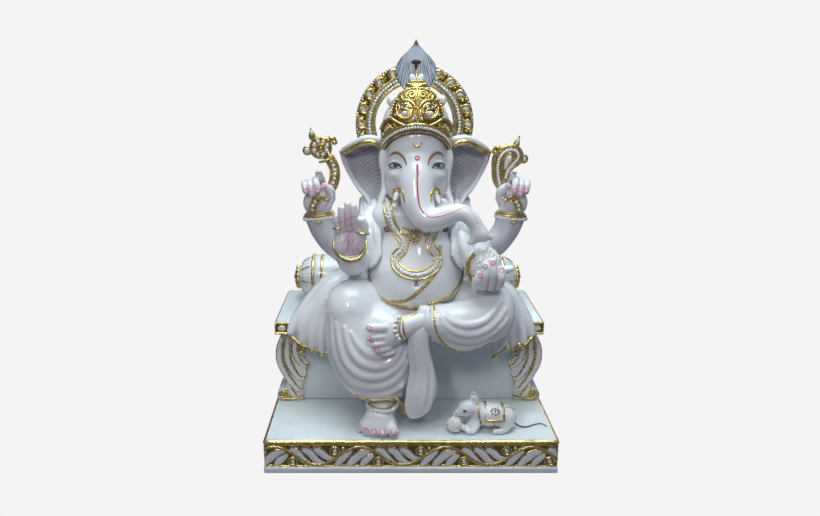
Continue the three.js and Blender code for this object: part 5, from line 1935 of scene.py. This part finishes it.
def build_face():
    lids, whites, irises, brows, soft = [], [], [], [], []
    for side in (-1, 1):
        x, y, z = EYE
        whites.append(patch_on(face_skin, (x, y, z), (7.2, 3.0), side, -side * 8, 0.8))
        irises.append(patch_on(face_skin, (x - 0.5, y, z + 0.5), (4.0, 3.3), side, 0, 1.35))
        soft.append(patch_on(face_skin, (x - 0.5, y, z + 0.7), (2.4, 2.2), side, 0, 1.7))
        upper = [
            (x - 9.5, y, z - 2.6), (x - 5, y, z + 1.6), (x + 1, y, z + 3.2), (x + 6, y, z + 2),
            (x + 9.4, y, z - 1),
        ]
        lower = [(x - 9.5, y, z - 2.6), (x - 3, y, z - 3.6), (x + 4, y, z - 3.6), (x + 9.4, y, z - 1.4)]
        lids.append(line_on(face_skin, upper, 1.9, 0.5, 0.5, 30, side, True))
        lids.append(line_on(face_skin, lower, 0.35, 0.5, 0.4, 30, side, True))
        brow = [
            (15, -50, 429), (17.5, -49, 436.5), (22, -48, 441.5), (28, -45, 444.5), (34.5, -42, 442.5),
            (39, -39, 437.5),
        ]
        brows.append(line_on(face_skin, brow, 2.2, 0.4, 0.0, 50, side, True))
    piece("eye_whites", whites, SOFT_GREY)
    piece("eye_irises", irises, IRIS)
    piece("eyelid_lines", lids, DARK)
    piece("eye_pupils", soft, DARK)
    piece("brow_lines", brows, BROW_PAINT)

    crimson = [
        (0, -62, 430), (0, -68, 415), (0, -72, 399), (2, -82, 380), (7, -90, 369), (17, -94, 363),
        (35, -96, 366),
        (51, -97, 373), (64, -97, 377), (74, -98, 370), (81, -98, 356),
    ]
    path = smooth_path(fig(crimson), 120)
    places, normals = face_skin.press(path)
    width = np.interp(np.linspace(0, 1, 120), [0, 0.25, 0.45, 0.7, 1], [1.5, 1.15, 0.7, 0.45, 0.3])
    piece(
        "trunk_crimson_line", tube(places, width, 8, False, 0.4, smooth_rows(normals)), CRIMSON,
    )
    piece(
        "brow_mark_ring", ring_on(face_skin, (0, -60, 438.5), (2.5, 2.5), 0.9, 0.6, 0.1), CRIMSON,
    )
    piece("brow_mark_dot", patch_on(face_skin, (0, -60, 438.5), (1.9, 1.9)), ROSE)
    moon = [(-6, -52, 461), (-4.6, -52, 456.4), (0, -52, 454.4), (4.6, -52, 456.4), (6, -52, 461)]
    gilt = [line_on(face_skin, moon, 1.6, 0.6, 0.2, 30, taper=True)]
    pearl = []
    for side, name, long in ((-1, "left", 0.72), (1, "right", 1.0)):
        root, tip = fig((25, -40, 391), side)[0], fig((31, -58, 391 - 14 * long), side)[0]
        bend = (root + tip) / 2 + (0, -2, 1)
        path = smooth_path([root, bend, tip], 14)
        radius = np.interp(np.linspace(0, 1, 14), [0, 0.7, 1], [5.6, 4.4, 2.6])
        piece(f"tusk_{name}_stone", tube(path, radius, 14), PEARL, (f"tusk_{name}",))
        for r, at in ((5.9, 4), (5.3, 7)):
            turn = np.array(Vector(path[at + 1] - path[at - 1]).to_track_quat("Z", "Y").to_matrix())
            ring = np.column_stack([r * np.cos(RING), r * np.sin(RING), 0 * RING]) @ turn.T + path[at]
            gilt.append(tube(ring, 1.5, 8, True))
        arc = [
            (18, -52, 382), (19, -52, 391), (24, -48, 396), (30, -46, 393), (32, -46, 386), (31, -48, 379),
        ]
        gilt.append(line_on(face_skin, arc, 1.8, 0.7, 0.4, 40, side))
    pearl.append(beads([fig((-32, -58, 371))[0]], 3.6))
    piece("face_gilt", gilt, GOLD)
    piece("tusk_pearl", pearl, PEARL)


def nails(skin, spots, size, toward=(0, 1, 0), side=1):
    """Outlined nails: a pale oval with a pink edge at each point."""
    edges, fills = [], []
    for at, tilt in spots:
        edges.append(ring_on(skin, at, size, 0.75, 0.6, 0.0, side, tilt, toward))
        fills.append(patch_on(skin, at, (size[0] * 0.8, size[1] * 0.8), side, tilt, 0.35, toward))
    return edges, fills


def build_hand_paint():
    pink, rose = [], []
    palm = Skin(shape["blessing_hand"])
    columns = (
        [(-106, 0, 342), (-107.5, 0, 352), (-108, 0, 364)],
        [(-98, 0, 340), (-100, 0, 352), (-100.5, 0, 372)], [(-90, 0, 340), (-91, 0, 352), (-92, 0, 374)],
    )
    rows = (
        [(-114, 0, 343), (-105, 0, 345), (-96, 0, 350), (-84, 0, 354)],
        [(-115, 0, 352), (-106, 0, 355), (-96, 0, 360), (-83, 0, 364)],
    )
    lines = (
        [(-88, 0, 346), (-94, 0, 336), (-96, 0, 322), (-95, 0, 306)],
        [(-86, 0, 338), (-92, 0, 332), (-95, 0, 322), (-101, 0, 310), (-109, 0, 305)],
        [(-80, 0, 336), (-88, 0, 330), (-91, 0, 320), (-89, 0, 308)],
        [(-78, 0, 330), (-84, 0, 322), (-82, 0, 314), (-76, 0, 310)],
        [(-116, 0, 326), (-108, 0, 324), (-99, 0, 330), (-96, 0, 340)],
        [(-84, 0, 312), (-90, 0, 308), (-96, 0, 304)],
        [(-106, 0, 343), (-108, 0, 334), (-107, 0, 326)],
    )
    for group, r in ((columns, 0.8), (rows, 0.65), (lines, 0.6)):
        pink += [line_on(palm, row, r, 0.35, -0.05, 30, taper=True) for row in group]
    for foot, spots, size in (
        (
            "raised_foot", [((tip[0] - 1.5, tip[1] - 4, tip[2] + 1.5), 0) for _, tip, _ in RAISED_TOES],
            (3.6, 3.0),
        ),
        (
            "planted_foot", [((tip[0], tip[1] - 4, tip[2] + 3.4), 0) for _, tip, _ in PLANTED_TOES],
            (3.5, 4.0),
        ),
        (
            "giving_hand", [((row[2][0], row[2][1] - 5, row[2][2] + 0.5), 0) for row in GIVING_FINGERS],
            (3.1, 3.1),
        ),
    ):
        edges, fills = nails(Skin(shape[foot]), spots, size)
        pink += edges
        rose += fills
    for name, rows, r in (
        (
            "raised_foot",
            [
                [(-50, 0, 208.5), (-60, 0, 209), (-66, 0, 210)],
                [(-46, 0, 197.5), (-56, 0, 197), (-63, 0, 197.5)],
                [(-42, 0, 189.5), (-50, 0, 188.5), (-57, 0, 188)],
                [(-36, 0, 182), (-43, 0, 180), (-50, 0, 179)],
            ],
            0.6,
        ),
        (
            "planted_foot",
            [
                [(-42, 0, 80), (-41.5, 0, 68), (-41, 0, 58)], [(-53, 0, 80), (-54, 0, 68), (-54.5, 0, 57)],
                [(-61, 0, 78), (-64, 0, 66), (-66, 0, 56)], [(-68, 0, 74), (-73, 0, 64), (-76, 0, 56)],
            ],
            0.6,
        ),
        (
            "giving_hand",
            [
                [(87.5, 0, 266), (88, 0, 276), (88.6, 0, 286)],
                [(97, 0, 266), (97.5, 0, 280), (97.3, 0, 296)],
                [(107.5, 0, 266), (108.8, 0, 280), (108.6, 0, 290)],
            ],
            0.55,
        ),
    ):
        skin = Skin(shape[name])
        pink += [line_on(skin, row, r, 0.4, 0.1, 24, taper=True) for row in rows]
    for side, name in ((-1, "rear_hand_left"), (1, "rear_hand_right")):
        skin = Skin(shape[name])
        tips = [((row[3][0], row[3][1] - 4, row[3][2] + 1.5), 0) for row in REAR_FINGERS]
        tips.append(((131.5, -31, 395), 0))
        edges, fills = nails(skin, tips, (2.7, 3.0), side=side)
        pink += edges
        rose += fills
        for x, z in ((158, 396), (149.5, 399), (139.5, 402)):
            pink.append(
                line_on(
                    skin, [(x, 0, z), (x - 0.5, 0, z - 7), (x - 1.5, 0, z - 14)], 0.6, 0.4, 0.1, 20, side,
                    True,
                )
            )
        pink.append(
            line_on(skin, [(133, 0, 378), (130, 0, 368), (136, 0, 358)], 0.6, 0.35, 0, 24, side, True)
        )
    piece("pink_lines", pink, PINK)
    piece("nail_wash", rose, ROSE)

    gilt = []
    for at, r, tilt in (((-110.5, -81, 345), 6.2, -8), ((-75.5, -84.5, 339), 8.2, 14)):
        ring = ring_points(fig(at)[0], (r, r), 25, tilt=0, roll=tilt)[:-1]
        gilt.append(tube(ring, 1.6, 8, True))
    piece("finger_rings", gilt, GOLD)


def build_bracelets():
    white = []
    for side, name in ((-1, "left"), (1, "right")):
        gilt = []
        for x, y, z, r, t in ((143.5, 0.5, 347, (22.2, 20.6), 1.9), (143.5, 0.5, 350.5, (20.6, 19), 1.3)):
            ring = ring_points(fig((x, y, z), side)[0], r, 61, tilt=-4, roll=side * 5)[:-1]
            gilt.append(tube(ring, t, 10, True))
        tooth = [(143.5, -20.5, 345), (140, -22, 341), (143.5, -22.5, 338.5), (147, -22, 341)]
        gilt.append(tube(smooth_path(fig(tooth, side), 16), 1.6, 8))
        scallops = ring_points(fig((143.5, 0.5, 343), side)[0], (23, 21.5), 33, tilt=-4, roll=side * 5)[:-1]
        white.append(beads(scallops, 2.5, around=8, along=5))
        piece(f"rear_bracelets_{name}", gilt, GOLD, (f"cuff_rear_{name}",))
    arc = [
        (-118, -72, 322), (-115, -80, 313), (-106, -87, 305), (-94, -90, 301), (-81, -88, 304),
        (-73, -80, 313), (-71, -70, 323),
    ]
    outer = [(x, y + 2, z - 3.4) for x, y, z in arc]
    front = [tube(smooth_path(fig(arc), 50), 2.2, 10), tube(smooth_path(fig(outer), 50), 1.4, 8)]
    piece("front_bracelet", front, GOLD, ("cuff_front_left",))
    edge = [(x - 1, y + 4, z - 6) for x, y, z in arc[:4]]
    white.append(beads(smooth_path(fig(edge), 9), 2.2, around=8, along=5))
    piece("cuff_pearls", white, PEARL)
    cuff = [(80, -96, 311), (73, -96, 303), (71, -95, 292), (72.5, -95, 281), (78, -95, 270)]
    sweet = [
        tube(smooth_path(fig(cuff), 40), 1.5, 8),
        beads(smooth_path(fig([(x - 3, y + 2, z) for x, y, z in cuff]), 16), 1.6, around=8, along=5),
    ]
    piece("giving_cuff", sweet, GOLD)

    planted = ring_points(fig((-49, -104, 95))[0], (21, 20.5), 49, tilt=8)[:-1]
    pearls = ring_points(fig((-49, -104.5, 90))[0], (22, 21.5), 25, tilt=8)[:-1]
    piece("anklet_planted_pearls", beads(pearls, 3.1), PEARL, ("anklet_planted",))
    lines = [tube(planted, 1.3, 8, True)]
    inner = [(-24, -118, 236), (-29, -122, 226), (-31, -126, 216), (-30, -124, 206), (-26, -118, 199)]
    skin = Skin(shape["raised_foot"], shape["leg_right_cloth"])
    pearls = [skin.row(fig(inner), 3.0, 0.5, 1.9)]
    piece("anklet_raised_pearls", pearls, PEARL, ("anklet_raised",))
    lines.append(line_on(skin, [(x + 5.5, y, z) for x, y, z in inner], 1.3, 0.7, 0.5, 40))
    lines.append(
        line_on(
            skin, [(-4, -115, 243), (-14, -116, 239), (-19, -118, 228), (-20, -120, 214), (-16, -118, 200)],
            1.3, 0.7, 0.3, 40,
        )
    )
    piece("anklet_gilt_lines", lines, GOLD)


def build_hems():
    gilt = []
    right = Skin(shape["leg_right_cloth"])
    hem = [
        (25, -112, 244), (23, -118, 230), (25, -118, 214), (32, -114, 196), (43, -110, 183),
        (56, -106, 175), (74, -102, 172), (92, -95, 174), (104, -88, 180),
    ]
    gilt.append(line_on(right, hem, 1.5, 0.8, 0.5, 90))
    left = Skin(shape["leg_left_cloth"])
    gilt.append(
        line_on(
            left,
            [(-86, -100, 107), (-72, -112, 104), (-54, -118, 104), (-38, -116, 104), (-25, -108, 102)], 2.3,
            0.8, 0.5, 60,
        )
    )
    tail = [(-31, -116, 105), (-24, -119, 99), (-20, -120, 91), (-19, -119, 82)]
    gilt.append(tube(smooth_path(fig(tail), 24), np.linspace(1.8, 2.6, 24), 8))
    for side, points in (
        (
            -1,
            [
                (188, -46, 170), (180, -50, 167), (173, -54, 163), (170, -54, 158), (160, -56, 157),
                (154, -58, 151), (146, -60, 152), (140, -62, 147), (131, -60, 150), (125, -56, 145),
            ],
        ),
        (
            1,
            [
                (178, -46, 170), (170, -50, 165), (163, -54, 160), (154, -54, 160), (147, -54, 153),
                (139, -52, 156), (131, -52, 150), (125, -50, 144), (118, -48, 137),
            ],
        ),
    ):
        path = smooth_path(fig(points, side), 90)
        wave = np.sin(np.linspace(0, 22, 90))
        path[:, 2] += wave * 0.8
        gilt.append(tube(path, 1.9 + 0.5 * wave, 8))
    piece("gilt_hems", gilt, GOLD)


def build_sweet():
    """The ball of sweet crumbs in the right hand."""
    low, high = box("sweet_ball")
    middle, r = (low + high) / 2, 22.6
    c = Clay(middle - 27, middle + 27, 0.9)
    c.add(Ball(middle, (r, r, r)))
    rng = np.random.default_rng(4)
    count = 210
    up = 1 - 2 * (np.arange(count) + 0.5) / count
    turn = np.arange(count) * 2.399963
    flat = np.sqrt(1 - up**2)
    for x, y, z, grain in zip(flat * np.cos(turn), flat * np.sin(turn), up, rng.uniform(1.8, 3.0, count)):
        c.add(Ball(middle + np.array([x, y, z]) * (r - 0.6), (grain, grain, grain)), 0.8)
    piece("sweet_crumbs", c.skin(1), PEARL, ("sweet_ball",))


# ---------------------------------------------------------------- what the rear hands hold


def ribbon(path, half, normal=(0, -1, 0)):
    """A jewelled band: gilt edges, a pearl row and a dark gilt ground."""
    p = smooth_path(path, 12 * len(path))
    ahead = np.gradient(p, axis=0)
    side = np.cross(ahead, np.asarray(normal, float))
    side /= np.maximum(np.linalg.norm(side, axis=1), 1e-9)[:, None]
    up = np.asarray(normal, float)
    ground = tube(p - up * 0.6, half, 12, False, 0.42, up)
    edges = [tube(p + side * s * half * 0.86 + up * 1.2, 1.25, 8) for s in (-1, 1)]
    length = np.linalg.norm(np.diff(p, axis=0), axis=1).sum()
    spots = smooth_path(p, max(2, int(length / 5.0)))[1:-1]
    pearls = beads(spots + up * 2.0, 2.5)
    return ground, edges, pearls


def build_attributes():
    shaft = [(126, -11, 434), (119, -13, 420), (118, -16, 406), (122, -17, 392)]
    palm = [(143, -23, 376), (149, -22.5, 368), (151, -22, 360), (151, -20, 353)]
    for side, name in ((-1, "wheel"), (1, "noose")):
        gilt, white, ground = [], [], []
        bands = [(shaft, 7.6), (palm, 5.4)] if side < 0 else [(palm, 5.4)]
        for path, half in bands:
            base, edges, pearls = ribbon(fig(path, side), half)
            ground.append(base)
            gilt += edges
            white.append(pearls)
        band = [(124, -19, 379), (131, -22.5, 374), (139, -23, 379), (146, -23.5, 376)]
        gilt.append(tube(smooth_path(fig(band, side), 24), 2.4, 8))
        if side < 0:
            wheel_head(gilt, white, ground)
        else:
            noose_head(gilt, white, ground)
        piece(f"{name}_gilt", gilt, GOLD, (f"{name}_on_handle",))
        piece(f"{name}_gems", white, PEARL)
        values = {"height": np.full(sum(len(v) for v, _ in ground), 0.62)}
        values["stone"] = np.zeros(len(values["height"]))
        piece(f"{name}_ground", ground, RELIEF, (), values)


def disc_points(middle, radius, count, y=0.0, first=0.0):
    a = np.linspace(0, 2 * math.pi, count, endpoint=False) + first
    return np.column_stack(
        [middle[0] + radius * np.cos(a), np.full(count, middle[1] + y), middle[2] + radius * np.sin(a)]
    )


def wheel_head(gilt, white, ground):
    at = fig((-138, -8, 448))[0]
    ground.append(ball_mesh(Ball(at, (16, 6.5, 16)), 28, 12))
    gilt.append(tube(disc_points(at, 14.6, 48, -4.0), 2.0, 8, True))
    gilt.append(tube(disc_points(at, 14.0, 48, 4.5), 2.0, 8, True))
    gilt.append(tube(disc_points(at, 5.2, 28, -6.6), 1.3, 8, True))
    gilt.append(beads([at + (0, -6.8, 0)], 2.3))
    for spot in disc_points(at, 9.9, 8, -5.4, 0.35):
        white.append(ball_mesh(Ball(spot, (3.3, 2.4, 3.3))))
        gilt.append(tube(disc_points(spot, 3.5, 16, -0.6), 0.9, 6, True))
    collar = fig([(-127, -14, 441), (-125, -16, 434), (-131, -17, 430), (-139, -16, 428)])
    gilt.append(tube(smooth_path(collar, 20), 2.0, 8))
    bud(gilt, white, fig((-150, -8, 463))[0], fig((-152, -8, 475))[0], 5.2)
    knob(gilt, white, fig((-157.5, -8, 444))[0], 5.4)
    bird(gilt, fig((-123, -8, 460))[0], -1)


def bud(gilt, white, root, tip, r):
    path = smooth_path([root, (root + tip) / 2, tip], 12)
    gilt.append(tube(path, np.interp(np.linspace(0, 1, 12), [0, 0.35, 1], [r, r * 0.95, 0.6]), 12))
    white.append(ball_mesh(Ball(root * 0.45 + tip * 0.55 + (0, -3.4, 0), (2.2, 1.8, 3.4))))
    gilt.append(beads([tip], 1.5))


def knob(gilt, white, at, r):
    gilt.append(tube(disc_points(at, r, 24, -1.0), 1.9, 8, True))
    white.append(ball_mesh(Ball(at, (r, r * 0.8, r))))


def bird(gilt, at, side):
    """A small beaked knob with a dark eye."""
    gilt.append(beads([at, at + (side * -4.5, 0, -5)], [5.0, 3.6]))
    gilt.append(
        tube(
            smooth_path([at + (-side * 3, 0, 2), at + (-side * 7, 0, -2), at + (-side * 8.4, 0, -6)], 10),
            np.linspace(3, 1, 10), 8,
        )
    )
    piece(
        "knob_eye_left" if side < 0 else "knob_eye_right", beads([at + (0, -4.6, 1)], 1.3), DARK,
    )


NOOSE_OUTER = [
    (122, 388), (115, 400), (113, 416), (113, 431), (117, 441), (125, 448), (138, 451.5), (148, 448),
    (153.5, 440), (153.5, 431), (148, 424), (140, 418), (137, 412), (136, 405),
]
NOOSE_PEARLS = [
    (124, 392), (120.5, 403), (119, 415), (119.5, 427), (122.5, 436), (128.5, 442.5), (137, 445.5),
    (144.5, 443.5), (148, 438), (147, 431.5), (141.5, 425), (136, 418), (132.5, 411), (131, 405),
]
NOOSE_DROP = [
    (128.5, 399), (125, 410), (124.5, 421), (126.5, 431), (131, 438), (137, 440.5), (142, 439),
    (142.5, 434), (137.5, 427.5), (132, 420), (129.5, 411),
]


def noose_head(gilt, white, ground):
    """A long looped noose: gold edges round a row of pearls and a white drop."""
    y = -9
    outer, row, drop = (
        fig([(x, y, z) for x, z in points])
        for points in (NOOSE_OUTER, NOOSE_PEARLS, NOOSE_DROP)
    )
    edge = smooth_path(outer, 80)
    c = clay((106, -22, 378), (162, 6, 460), 0.9)
    c.add(Leaf(outer[:, [0, 2]], lambda x, z, depth: y + 0 * x, 5.0, (-20, 4), 2.5))
    ground.append(c.skin(1))
    gilt.append(tube(edge + (0, -4.0, 0), 2.0, 8))
    gilt.append(tube(edge + (0, 3.6, 0), 2.0, 8))
    white.append(beads(smooth_path(row, 30) + (0, -5.6, 0), 2.6, around=8, along=5))
    rim = smooth_path(np.vstack([drop, drop[:1]]), 50)[:-1]
    gilt.append(tube(rim + (0, -5.6, 0), 1.3, 8, True))
    stone = [(131, y, 414, 2.4), (131.5, y, 424, 3.8), (135, y, 433.5, 5.0)]
    c = clay((122, -22, 404), (146, 0, 444), 0.8)
    c.add(limb([(x, y - 3.4, z, r) for x, y, z, r in stone]))
    white.append(c.skin())
    bud(gilt, white, fig((144, -9, 449))[0], fig((149, -9, 464))[0], 5.0)
    knob(gilt, white, fig((156.5, -9, 432))[0], 5.0)
    bird(gilt, fig((119.5, -9, 446.5))[0], 1)


build_necklace()
build_body_marks()
build_face()
build_hand_paint()
build_bracelets()
build_hems()
build_sweet()
build_attributes()


# ---------------------------------------------------------------- the mouse


def build_mouse():
    at = centre("mouse")
    ox = at[0] - 100  # the mouse is laid out with its middle at x = 100

    def m(*p):
        return np.array([p[0] + ox, p[1], p[2]], float)

    def path(rows):
        p = np.array(rows, float)
        p[:, 0] += ox
        return Limb(p)

    c = Clay(m(44, -144, 50), m(160, -88, 118), 0.9)
    c.add(Ball(m(107, -110, 75), (28, 17, 17), (0, 4, 0)))
    c.add(Ball(m(128, -108, 70), (18, 17, 17)), 6)
    c.add(path([(92, -110, 80, 13), (81, -111, 86, 12), (72, -112, 86, 11.5)]), 5)
    c.add(path([(76, -112, 87, 11.5), (66, -113, 82, 8.4), (56.5, -113, 77.5, 4)]), 4)
    c.add(path([(84, -116, 72, 6), (74, -122, 60, 5), (66, -123, 62, 4), (60, -122, 66, 3.4)]), 3)
    c.add(path([(88, -120, 66, 5.5), (82, -126, 57, 4.6), (74, -128, 57, 3.6)]), 3)
    c.add(path([(130, -118, 64, 9), (124, -124, 57, 5), (112, -126, 56, 3.6)]), 3)
    for y in (-102, -117):
        c.add(Ball(m(84, y, 100), (5.6, 3.6, 7.4), (0, -18, 0)), 1.6)
        c.cut(Ball(m(82, y - 2.6, 101), (3.4, 1.8, 5), (0, -18, 0)), 1)
    c.cut(Box(m(30, -180, 20), m(180, -60, 0) + (0, 0, DECK + 0.15), 0.2), 0)
    body = c.skin()
    piece("mouse_body", body, MARBLE, ("mouse",))
    skin = Skin(body)

    def band(rows, r, flat=0.5, lift=0.3):
        p = smooth_path([m(*row) for row in rows], 40)
        places, normals = skin.nearest(p)
        return tube(places + normals * lift, r, 8, False, flat, normals)

    c = Clay(m(94, -136, 66), m(140, -84, 106), 0.9)
    c.add(Ball(m(107, -110, 75), (29.6, 18.4, 18.4), (0, 4, 0)))
    c.add(Ball(m(128, -108, 70), (19.6, 18.4, 18.4)), 6)
    c.keep(Box(m(98, -134, 72), m(126, -86, 104), 1.5), 1)
    blanket = c.skin()
    piece("mouse_blanket", blanket, PEARL, ("mouse_saddle",))
    cloth = Skin(blanket)
    gilt = []
    for x in (99, 125):
        arc = [m(x, -128, 73), m(x, -122, 84), m(x, -112, 94), m(x, -100, 92), m(x, -92, 80)]
        places, normals = cloth.nearest(smooth_path(arc, 40))
        gilt.append(tube(places + normals * 0.4, 2.0, 8, False, 0.6, normals))
    side = [m(x, -129, 74) for x in (99, 112, 125)]
    places, normals = cloth.nearest(smooth_path(side, 30))
    gilt.append(tube(places + normals * 0.4, 2.0, 8, False, 0.6, normals))
    gilt.append(band([(92, -124, 68), (90, -123, 78), (88, -116, 88)], 1.5))
    gilt.append(band([(126, -112, 86), (134, -110, 84), (141, -108, 79)], 1.2))
    gilt.append(band([(110, -126, 73), (111, -126, 66), (112, -124, 58)], 1.2))
    piece("mouse_gilt", gilt, GOLD)
    dots = [m(112, -121.5, 85)]
    a = np.linspace(0, 2 * math.pi, 8, endpoint=False)
    dots += [m(112 + 5.4 * math.cos(t), -121.5, 85 + 4.8 * math.sin(t)) for t in a]
    places, normals = cloth.nearest(dots)
    piece("mouse_blanket_dots", beads(places, 1.5, around=8, along=5), BROWN)
    places, normals = skin.press([m(69, -122, 87)])
    eye = ball_mesh(Ball(places[0], (3.0, 0.9, 1.9)))
    mouth = band([(58, -116, 76.5), (62, -119, 76), (67, -121, 77)], 0.5, 0.5, 0.0)
    nose = band([(57, -116, 80.5), (58.4, -117, 80.6)], 0.6, 0.5, 0.0)
    piece("mouse_face_lines", [eye, mouth, nose], SOFT_DARK)
    tail = smooth_path(
        [
            m(142, -104, DECK + 9), m(150, -106, DECK + 3), m(162, -106, DECK + 0.9),
            m(176, -98, DECK + 0.8), m(186, -96, DECK + 0.8), m(192, -104, DECK + 0.8),
        ],
        60,
    )
    piece("mouse_tail", tube(tail, np.linspace(1.5, 0.5, 60), 8), SOFT_DARK)
    rng = np.random.default_rng(7)
    ball_at = centre("mouse_sweet")
    c = Clay(ball_at - 15, ball_at + 15, 0.8)
    c.add(Ball(ball_at, (11, 11, 11)))
    count = 90
    up = 1 - 2 * (np.arange(count) + 0.5) / count
    turn = np.arange(count) * 2.399963
    flat = np.sqrt(1 - up**2)
    for x, y, z, grain in zip(flat * np.cos(turn), flat * np.sin(turn), up, rng.uniform(1.2, 2.0, count)):
        c.add(Ball(ball_at + np.array([x, y, z]) * 10.6, (grain, grain, grain)), 0.5)
    c.cut(Box(ball_at - (20, 20, 40), (ball_at[0] + 20, ball_at[1] + 20, DECK + 0.15), 0.1), 0)
    piece("mouse_sweet_crumbs", c.skin(1), PEARL, ("mouse_sweet",))


build_mouse()


# ---------------------------------------------------------------- room, light and camera


def paper_sheet(name, size, at, turn):
    """A bright sheet that the camera sees and that throws no light of its own on the idol."""
    made = bpy.data.materials.new(name)
    made.use_nodes = True
    tree = made.node_tree
    tree.nodes.remove(tree.nodes["Principled BSDF"])
    glow = tree.nodes.new("ShaderNodeEmission")
    glow.inputs["Color"].default_value = (0.905, 0.905, 0.905, 1)
    tree.links.new(glow.outputs["Emission"], tree.nodes["Material Output"].inputs["Surface"])
    bpy.ops.mesh.primitive_plane_add(size=size, location=at, rotation=turn)
    sheet = bpy.context.object
    sheet.name = name
    sheet.data.materials.append(made)
    sheet.visible_diffuse = False
    sheet.visible_glossy = False
    sheet.visible_shadow = False


def studio():
    """Pale paper on every side, a soft sky, and small lamps whose glints show on the polish."""
    paper_sheet("paper_floor", 30, (0, 0, -0.0005), (0, 0, 0))
    for i in range(4):
        turn = i * math.pi / 2
        paper_sheet(
            f"paper_wall_{i}", 30, (6 * math.sin(turn), 6 * math.cos(turn), 0), (math.pi / 2, 0, -turn),
        )
    world = bpy.data.worlds.new("studio")
    bpy.context.scene.world = world
    world.use_nodes = True
    world.node_tree.nodes["Background"].inputs["Color"].default_value = (0.8, 0.79, 1.0, 1)
    world.node_tree.nodes["Background"].inputs["Strength"].default_value = 0.17
    lamps = [
        ("sky", (0.0, -0.1, 1.9), 1.3, 31, (0.85, 0.97, 1.0)),
        ("front_left", (-0.55, -1.5, 1.35), 0.16, 5.6, (1.0, 0.97, 0.92)),
        ("front_right", (0.25, -1.5, 1.5), 0.16, 3.9, (1.0, 0.97, 0.92)),
        ("back", (0.2, 1.3, 1.0), 0.9, 5, (0.9, 0.95, 1.0)),
    ]
    for name, at, size, power, colour in lamps:
        light = bpy.data.lights.new(name, "AREA")
        light.size = size
        light.energy = power
        light.color = colour
        lamp = bpy.data.objects.new(name, light)
        lamp.location = at
        lamp.rotation_euler = (Vector((0, 0, 0.28)) - Vector(at)).to_track_quat("-Z", "Y").to_euler()
        bpy.context.collection.objects.link(lamp)


def camera():
    lens = bpy.data.cameras.new("camera")
    lens.sensor_width = 36
    lens.lens = 31.175
    lens.shift_x = 0.029
    seen = bpy.data.objects.new("camera", lens)
    seen.location = (-0.0352, -1.045, 0.56)
    seen.rotation_euler = (math.radians(75), 0, 0)
    bpy.context.collection.objects.link(seen)
    bpy.context.scene.camera = seen


studio()
camera()
bpy.context.scene.view_settings.view_transform = "Standard"
